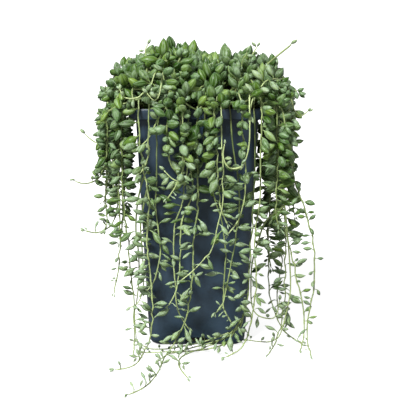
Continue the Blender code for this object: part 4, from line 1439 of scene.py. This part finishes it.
leafColours = {
    "tints": [(0.00, (0.140, 0.232, 0.105)), (0.12, (0.064, 0.142, 0.026)), (0.22, (0.040, 0.096, 0.010)),
              (0.32, (0.021, 0.058, 0.006)), (0.52, (0.042, 0.100, 0.009)), (0.82, (0.088, 0.168, 0.016)),
              (1.00, (0.180, 0.280, 0.040))],
    "young": (0.370, 0.465, 0.250, 1),
    # marks over the tint: their colour, where they start and where they are full, and how strong they are
    "stripe": ((0.015, 0.046, 0.005, 1), 0.52, 0.61, 0.70),
    "streak": ((0.240, 0.340, 0.200, 1), 0.47, 0.37, 0.58),
    "foot": ((0.200, 0.280, 0.085, 1), 0.36, 0.14, 0.85),
    "tip": ((0.030, 0.075, 0.036, 1), 0.88, 1.0, 0.7),
    "stripeScale": (2.9, 2.9, 1.1),  # round the leaf twice, and along it
    "stripeNoise": (1.0, 2.0, 0.5),  # scale, detail and roughness
    "bloomAndTopLight": (0.66, 0.02, 1.20),  # on old leaves of the first tint, on greener old ones, and on young ones
    "bloomTint": 0.30,  # the tint from which leaves count as greener, and next the age that counts as young
    "bloomAge": 0.36,
    "roughness": (0.36, 0.52),  # without bloom and with it
    "roughBloom": 0.4,
    "grain": {"coarse": 300.0, "fine": 1000.0, "strength": 0.25, "depth": 0.0005},
    "gloss": {"Specular IOR Level": 0.18, "Coat Weight": 0.08, "Coat Roughness": 0.32},
    "translucence": {"Subsurface Weight": 0.08, "Subsurface Radius": (0.6, 1.0, 0.3),
                     "Subsurface Scale": 0.0015},
}

stemColours = {
    "ages": [(0.0, (0.150, 0.100, 0.038)), (0.28, (0.190, 0.262, 0.074)), (1.0, (0.480, 0.585, 0.248))],
    "mottle": 0.35,
    "bloomAndTopLight": 0.18,
    "roughness": 0.48,
    "grain": {"coarse": 260.0, "fine": 2200.0, "strength": 0.25, "depth": 0.0003},
}

# The head's core in near-black greens: painted shade for the deep inside of the mound, seen through the gaps
# between its leaves
coreLook = {
    "dark": (0.012, 0.018, 0.008, 1),
    "pale": (0.040, 0.048, 0.018, 1),
    "roughness": 0.8,
    "grain": {"coarse": 120.0, "fine": 700.0, "strength": 0.6, "depth": 0.001},
}


def attribute(tree, name):
    return newNode(tree, "ShaderNodeAttribute", attribute_name=name), "Vector"


def leafMaterial(bloomAndTopLight, mottle):
    look = leafColours
    material, tree, shader = newMaterial("leafSkin")
    shade = newNode(tree, "ShaderNodeSeparateXYZ", {"Vector": attribute(tree, "shade")})
    tint, age, along = (shade, "X"), (shade, "Y"), (shade, "Z")
    base = mixInto(tree, "MIX", age, newRamp(tree, tint, look["tints"]), look["young"])
    space = {"Vector": attribute(tree, "skin"), "Scale": look["stripeScale"]}
    noise = newNoise(tree, (newNode(tree, "ShaderNodeMapping", space), "Vector"), *look["stripeNoise"])
    for mark, source in (("stripe", noise), ("streak", noise), ("foot", along), ("tip", along)):
        colour, start, full, share = look[mark]
        amount = ranged(tree, source, {"From Min": start, "From Max": full, "To Max": share})
        base = mixInto(tree, "MIX", amount, base, colour)
    greyest, greenest, young = look["bloomAndTopLight"]
    old = ranged(tree, tint, {"From Max": look["bloomTint"], "To Min": greyest, "To Max": greenest})
    frost = ranged(tree, age, {"From Max": look["bloomAge"], "To Min": old, "To Max": young})
    place, _ = addGrain(tree, shader, mottle, look["grain"])
    # the pale bloom, heavier on up-facing sides as painted top light
    waxAndTopLight = placeGroup(tree, bloomAndTopLight, {"Color": base, "Vector": place, "Amount": frost})
    low, high = look["roughness"]
    rough = ranged(tree, (waxAndTopLight, "Mask"), {"From Max": look["roughBloom"], "To Min": low, "To Max": high})
    feed(tree, shader, {"Base Color": (waxAndTopLight, "Color"), "Roughness": rough})
    feed(tree, shader, {**look["gloss"], **look["translucence"]})
    return material


def stemMaterial(bloomAndTopLight, mottle):
    material, tree, shader = newMaterial("stemSkin")
    shade = newNode(tree, "ShaderNodeSeparateXYZ", {"Vector": attribute(tree, "shade")})
    ramp = newRamp(tree, (shade, "Y"), stemColours["ages"])
    place, grain = addGrain(tree, shader, mottle, stemColours["grain"])
    base = mixInto(tree, "MULTIPLY", stemColours["mottle"], ramp, (grain, "Mask"))
    # the pale bloom, heavier on up-facing sides as painted top light
    waxAndTopLight = placeGroup(tree, bloomAndTopLight, {"Color": base, "Vector": place, "Amount": stemColours["bloomAndTopLight"]})
    feed(tree, shader, {"Base Color": (waxAndTopLight, "Color"), "Roughness": stemColours["roughness"]})
    return material


mottle = mottleGroup()
bloomAndTopLight = bloomAndTopLightGroup()
leafSkin = leafMaterial(bloomAndTopLight, mottle)
stemSkin = stemMaterial(bloomAndTopLight, mottle)
shadedCore = mottledMaterial("shadedCore", mottle, coreLook)
print("stage: plant materials")


# Stems with their leaves

# A finer line that turns a little, one way and the other, at each leaf
def stemLine(line, nodes, rng):
    step = stemPlan["step"] / 2
    fine = smoothLine([point.copy() for point in line], step)
    nodes = sorted(nodes)
    shoves = [scatter(rng, 1) * stemLook["zigzag"] for _ in nodes]
    moved = []
    for i, point in enumerate(fine):
        along = i * step
        before = max([k for k, node in enumerate(nodes) if node <= along], default=None)
        if before is None or before + 1 >= len(nodes) or point.z < stemLook["straightBelow"]:
            moved.append(point)
            continue
        share = (along - nodes[before]) / max(1e-6, nodes[before + 1] - nodes[before])
        moved.append(point + shoves[before].lerp(shoves[before + 1], share))
    return moved


# 0 on old stem by the root, 1 on the new tip, less along a stem that stays dark
def stemAge(share, along, pale, palest):
    paled = clamp((along - stemLook["darkRoot"]) / stemLook["paling"])
    return min(1, stemLook["rootAge"] + (pale + max(0, palest - pale) * share ** 6) * paled)


# The tip of a line and the way it points
def tipOf(line):
    return line[-1], (line[-1] - line[-2]).normalized()


# Small new leaves at a stem's tip
def addNewLeaves(gather, line, look, rng):
    tip, ahead = tipOf(line)
    for spin in look["spins"]:
        way = (ahead + squareTo(ahead, spin) * look["lean"]).normalized()
        leaf = (tip - ahead * look["back"], way, rng.uniform(*look["length"]), look["girth"])
        addLeaf(gather, leaf, look["age"], rng)


# The radius of a stem at each point of its fine line, swollen where leaves grow
def stemRadii(name, count, nodes):
    radii = []
    for i in range(count):
        share = i / (count - 1)
        radius = stemLook["rootRadius"] * (1 - share) + stemLook["tipRadius"] * share
        radii.append(radius * stemLook["stout"].get(name, 1) * (stemLook["nodeSwell"] if i in nodes else 1))
    radii[-1] *= 0.5
    return radii


def buildTrail(name):
    rng, gather, look = random.Random("look " + name), Gather(), stemLook
    bare = name in fuller["bare"]
    grown = [] if bare else [
        (along, base, axis, length * fuller["firstLength"],
         girth * (fuller["firstGirth"] if base.z > fuller["slimBelow"] else look["lowGirth"]))
        for along, base, axis, length, girth in leaves[name]] + extra[name]
    total = stemPlan["step"] * (len(routes[name]) - 1)
    fine = stemLine(routes[name], [leaf[0] for leaf in grown], rng)
    step = total / (len(fine) - 1)
    radii = stemRadii(name, len(fine), {round(leaf[0] / step) for leaf in grown})
    side = "front" if "front" in name else "aside"
    paleFrom = look["paleFrom"].get(name.split("_")[1], look["paleElsewhere"])
    pale = look["paleStems"].get(name, rng.uniform(*look["paleness"][side]))
    ages = [stemAge(i * step / total, i * step, pale, look["palestTip"][side]) for i in range(len(fine))]
    addTube(gather, fine, radii, look["sides"], ages)
    for along, base, *rest in grown:
        low = clamp((paleFrom - base.z) / look["paleOver"])
        age = look["topAge"] + look["lowAge"] * low + rng.uniform(*look["ageSway"]) * (1 + low)
        age += look["floorAge"] if base.z < look["floorHeight"] else 0
        if total - along < look["tipReach"]:
            age += look["tipAge"] * (1 - (total - along) / look["tipReach"])
        addLeaf(gather, (fine[min(len(fine) - 1, round(along / step))], *rest), clamp(age), rng)
    if bare:
        (tip, ahead), bud = tipOf(fine), look["bareBud"]
        addLeaf(gather, (tip - ahead * bud["back"], ahead, bud["length"], bud["girth"]), bud["age"], rng)
    else:
        addNewLeaves(gather, fine, look["newLeaves"], rng)
    piece = gather.build("trail_" + name.replace("stem_", ""), [leafSkin, stemSkin])
    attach(piece, "root")
    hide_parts(name)


# The core with its lumps, and the leaves on it
def buildHead():
    rng, gather, bm = random.Random(77), Gather(), bmesh.new()
    bmesh.ops.create_icosphere(bm, subdivisions=4, radius=1)
    for vert in bm.verts:
        x, y, z = vert.co
        waves = headLook["lump"] * math.sin(9 * x + 2) * math.cos(8 * y) * math.sin(7 * z + 1)
        vert.co = headSkin(vert.co, headLook["core"] + waves)[0]
        vert.co.z = max(vert.co.z, soilDims["level"] + headLook["soilGap"])
    points, faces = unpack(bm)
    blank = np.zeros((len(points), 3))
    gather.add(points, faces, 2, blank, blank)
    first = [(*leaf[:4], leaf[4] * fuller["firstGirth"]) for leaf in leaves["crown"]]
    for leaf in first + headExtra:
        addLeaf(gather, leaf[1:], max(0, rng.uniform(*headLook["ages"])), rng)
    piece = gather.build("head_of_leaves", [leafSkin, stemSkin, shadedCore])
    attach(piece, "root")
    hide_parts("crown")


# A knot of small frosted leaves at a shoot's tip
def addBuds(gather, line, rng):
    (tip, ahead), look = tipOf(line), shootLook
    lean, more = look["budLean"]
    for k in range(look["buds"]):
        way = (ahead + squareTo(ahead, goldenAngle * k) * (lean + more * k)).normalized()
        length = rng.uniform(*look["budLength"]) + look["budLonger"] * k
        leaf = (tip + ahead * (look["budPast"] - look["budBack"] * k), way, length, look["budGirth"])
        addLeaf(gather, leaf, look["budAge"], rng, look["budTints"])


# The mound's short shoots, in two pieces
def buildMound():
    rng = random.Random(78)
    young, older = shootLook["stemAge"]
    for label, side in (("left", -1), ("right", 1)):
        gather = Gather()
        for line, grown in moundShoots:
            if (line[-1].x - moundPlan["middle"][0]) * side <= 0:
                continue
            count = len(line)
            ages = [young + older * i / count for i in range(count)]
            addTube(gather, line, [shootLook["radius"]] * count, shootLook["sides"], ages)
            shootAge = rng.uniform(*shootLook["leafAge"])
            for leaf in grown:
                age = max(0, shootAge + rng.uniform(*shootLook["ageSway"]))
                addLeaf(gather, leaf[1:], age, rng, moundPlan["tints"][label])
            if rng.random() < moundPlan["budded"]:
                addBuds(gather, line, rng)
        piece = gather.build(f"mound_{label}", [leafSkin, stemSkin])
        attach(piece, "root")


# The pale young shoots, in one piece
def buildLoose():
    rng, gather, look = random.Random(79), Gather(), looseLook
    paler, tipPaler = look["stemAge"]
    for line, grown, age in looseGrown:
        count = len(line)
        radii = [look["radius"] - look["taper"] * i / count for i in range(count)]
        ages = [min(1, age + paler + tipPaler * i / count) for i in range(count)]
        addTube(gather, line, radii, look["sides"], ages)
        slower = 1 if age > look["darkBelow"] else look["darkShare"]
        for i, leaf in enumerate(grown):
            young = age + look["leafAge"] * i / max(1, len(grown)) * slower
            addLeaf(gather, leaf[1:], min(1, young + rng.uniform(*look["ageSway"])), rng)
        addNewLeaves(gather, line, look["newLeaves"], rng)
    piece = gather.build("young_shoots", [leafSkin, stemSkin])
    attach(piece, "root")


for name in names:
    buildTrail(name)
buildHead()
buildMound()
buildLoose()
print("stage: plant built")


# Pot

potLook = {
    "dark": (0.0130, 0.0300, 0.0500, 1),
    "pale": (0.0250, 0.0465, 0.0720, 1),
    "roughness": 0.46,
    "grain": {"coarse": 45.0, "fine": 1500.0, "strength": 0.22, "depth": 0.0004},
    "cornerSteps": 7,
    "sideSteps": 10,
    "footRound": 0.0060,
    "footTurns": (0, 20, 45, 68, 90),
    "wallRings": 13,
    "sag": 0.0004,
    "slotWidth": 0.021,
    "slotHeight": 0.0078,
    "slotBlock": (0.010, 0.020),  # the depth and the height of the block that cuts it
    "slotArch": 0.62,  # how round its top is, against its height
    "archSteps": 5,
    "holeRadius": 0.004,
    "holeSides": 24,
    "holeDepth": 0.01,
    "holeRing": 0.024,
    "sharpFrom": 38,
}

soilLook = {
    "dark": (0.006, 0.004, 0.003, 1),
    "pale": (0.034, 0.023, 0.015, 1),
    "roughness": 0.95,
    "grain": {"coarse": 320.0, "fine": 900.0, "strength": 0.9, "depth": 0.0012},
}


# A square ring with rounded corners at height z, its sides drawn in a little at their middles
def potRing(half, corner, z, sag):
    steps, flat = potLook["cornerSteps"], half - corner
    points = []
    for k, (sx, sy) in enumerate(((1, -1), (1, 1), (-1, 1), (-1, -1))):
        for i in range(steps + 1):
            angle = math.radians(90 * (k - 1) + 90 * i / steps)
            points.append((sx * flat + corner * math.cos(angle), sy * flat + corner * math.sin(angle), z))
        way = math.radians(90 * k)
        out, across = (math.cos(way), math.sin(way)), (-math.sin(way), math.cos(way))
        for i in range(1, potLook["sideSteps"]):
            place = -flat + 2 * flat * i / potLook["sideSteps"]
            depth = half - sag * (1 - (place / flat) ** 2)
            points.append((out[0] * depth + across[0] * place, out[1] * depth + across[1] * place, z))
    return points


# The pot's rings from the foot's underside, up the outside, over the lip and down the inside
def potRings():
    foot, top, rim = potDims["footWidth"] / 2, potDims["topWidth"] / 2, potDims["rimWidth"] / 2
    corner, wall, height = potDims["corner"], potDims["wall"], potDims["height"]
    under, curve, count = height - potDims["rimBand"], potLook["footRound"], potLook["wallRings"]
    rings = []
    for angle in potLook["footTurns"]:
        turn = math.radians(angle)
        inset = curve * (1 - math.sin(turn))
        rings.append((foot - inset, corner - inset * 0.6, curve * (1 - math.cos(turn)), 0))
    for i in range(1, count + 1):
        share = i / count
        z = curve + (under - curve) * share
        half = foot + (top - foot) * z / under
        rings.append((half, corner, z, potLook["sag"] * math.sin(math.pi * share)))
    for half, more, z in (
            (top + 0.0006, 0, under + 0.0002), (rim - 0.0007, 0.0010, under + 0.0004),
            (rim - 0.0001, 0.0012, under + 0.0009), (rim, 0.0012, under + 0.0020),
            (rim, 0.0012, height - 0.0014), (rim - 0.0002, 0.0011, height - 0.0006),
            (rim - 0.0007, 0.0008, height), (rim - wall + 0.0002, 0, height),
            (rim - wall - 0.0002, -0.0002, height - 0.0006), (rim - wall - 0.0002, -0.0002, under + 0.0030),
            (top - wall, -wall, under + 0.0018)):
        rings.append((half, corner + more, z, 0))
    for z, inset in ((0.150, 0), (0.100, 0), (0.050, 0), (0.0100, 0), (0.0046, 0.0022),
                     (wall + 0.0004, 0.0062)):
        rings.append((foot + (top - foot) * z / under - wall - inset, corner - wall - inset * 0.4, z, 0))
    return rings


# The pot's closed shell, its faces turned outward
def potShell():
    rings = potRings()
    points = [point for ring in rings for point in potRing(*ring)]
    count, faces = len(points) // len(rings), []
    for row in range(len(rings) - 1):
        for k in range(count):
            a, b = row * count + k, row * count + (k + 1) % count
            faces.append((a, b, b + count, a + count))
    faces.append(tuple(reversed(range(count))))
    faces.append(tuple((len(rings) - 1) * count + k for k in range(count)))
    mesh = bpy.data.meshes.new("pot_shell")
    mesh.from_pydata(points, [], faces)
    bm = bmesh.new()
    bm.from_mesh(mesh)
    bmesh.ops.recalc_face_normals(bm, faces=bm.faces)
    bm.to_mesh(mesh)
    bm.free()
    return newObject("pot_shell", mesh)


# What is cut out of the pot: an arched slot at the foot of each side, and four round holes in the base
def drainCutter():
    bm = bmesh.new()
    wide, high, (deep, tall) = potLook["slotWidth"], potLook["slotHeight"], potLook["slotBlock"]
    for turn in range(4):
        made = bmesh.ops.create_cube(bm, size=1)["verts"]
        for vert in made:
            vert.co = Vector((vert.co.x * wide, vert.co.y * deep - potDims["footWidth"] / 2, vert.co.z * tall))
        top = [edge for edge in {e for v in made for e in v.link_edges}
               if all(v.co.z > 0 for v in edge.verts) and abs(edge.verts[0].co.x - edge.verts[1].co.x) < 0.001]
        for vert in made:
            vert.co.z += high - tall / 2
        bevelled = bmesh.ops.bevel(bm, geom=top, offset=high * potLook["slotArch"],
                                   segments=potLook["archSteps"], profile=0.5, affect="EDGES")
        group = {v for v in made if v.is_valid} | set(bevelled["verts"])
        quarter = Matrix.Rotation(math.radians(90 * turn), 3, "Z")
        bmesh.ops.rotate(bm, verts=list(group), cent=(0, 0, 0), matrix=quarter)
    radius = potLook["holeRadius"]
    for turn in range(4):
        angle = math.radians(45 + 90 * turn)
        place = Matrix.Translation(Vector((math.cos(angle), math.sin(angle), 0)) * potLook["holeRing"])
        bmesh.ops.create_cone(bm, cap_ends=True, segments=potLook["holeSides"], radius1=radius,
                              radius2=radius, depth=potLook["holeDepth"], matrix=place)
    bmesh.ops.recalc_face_normals(bm, faces=bm.faces)
    return newObject("drainCutter", meshFrom(bm, "drainCutter"))


def buildPot(material):
    pot, cutter = potShell(), drainCutter()
    cut = pot.modifiers.new("drains", "BOOLEAN")
    cut.operation = "DIFFERENCE"
    cut.object = cutter
    cut.solver = "EXACT"
    made = bpy.data.meshes.new_from_object(pot.evaluated_get(bpy.context.evaluated_depsgraph_get()))
    pot.modifiers.clear()
    pot.data = made
    bpy.data.objects.remove(cutter)
    made.materials.clear()
    made.materials.append(material)
    made.shade_smooth()
    made.set_sharp_from_angle(angle=math.radians(potLook["sharpFrom"]))
    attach(pot, "root")
    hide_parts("pot")


buildPot(mottledMaterial("slatePotPlastic", mottle, potLook))
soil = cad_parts["soil"]
soil.data.materials.clear()
soil.data.materials.append(mottledMaterial("pottingMix", mottle, soilLook))
for face in soil.data.polygons:
    face.material_index = 0
print("stage: pot and soil")
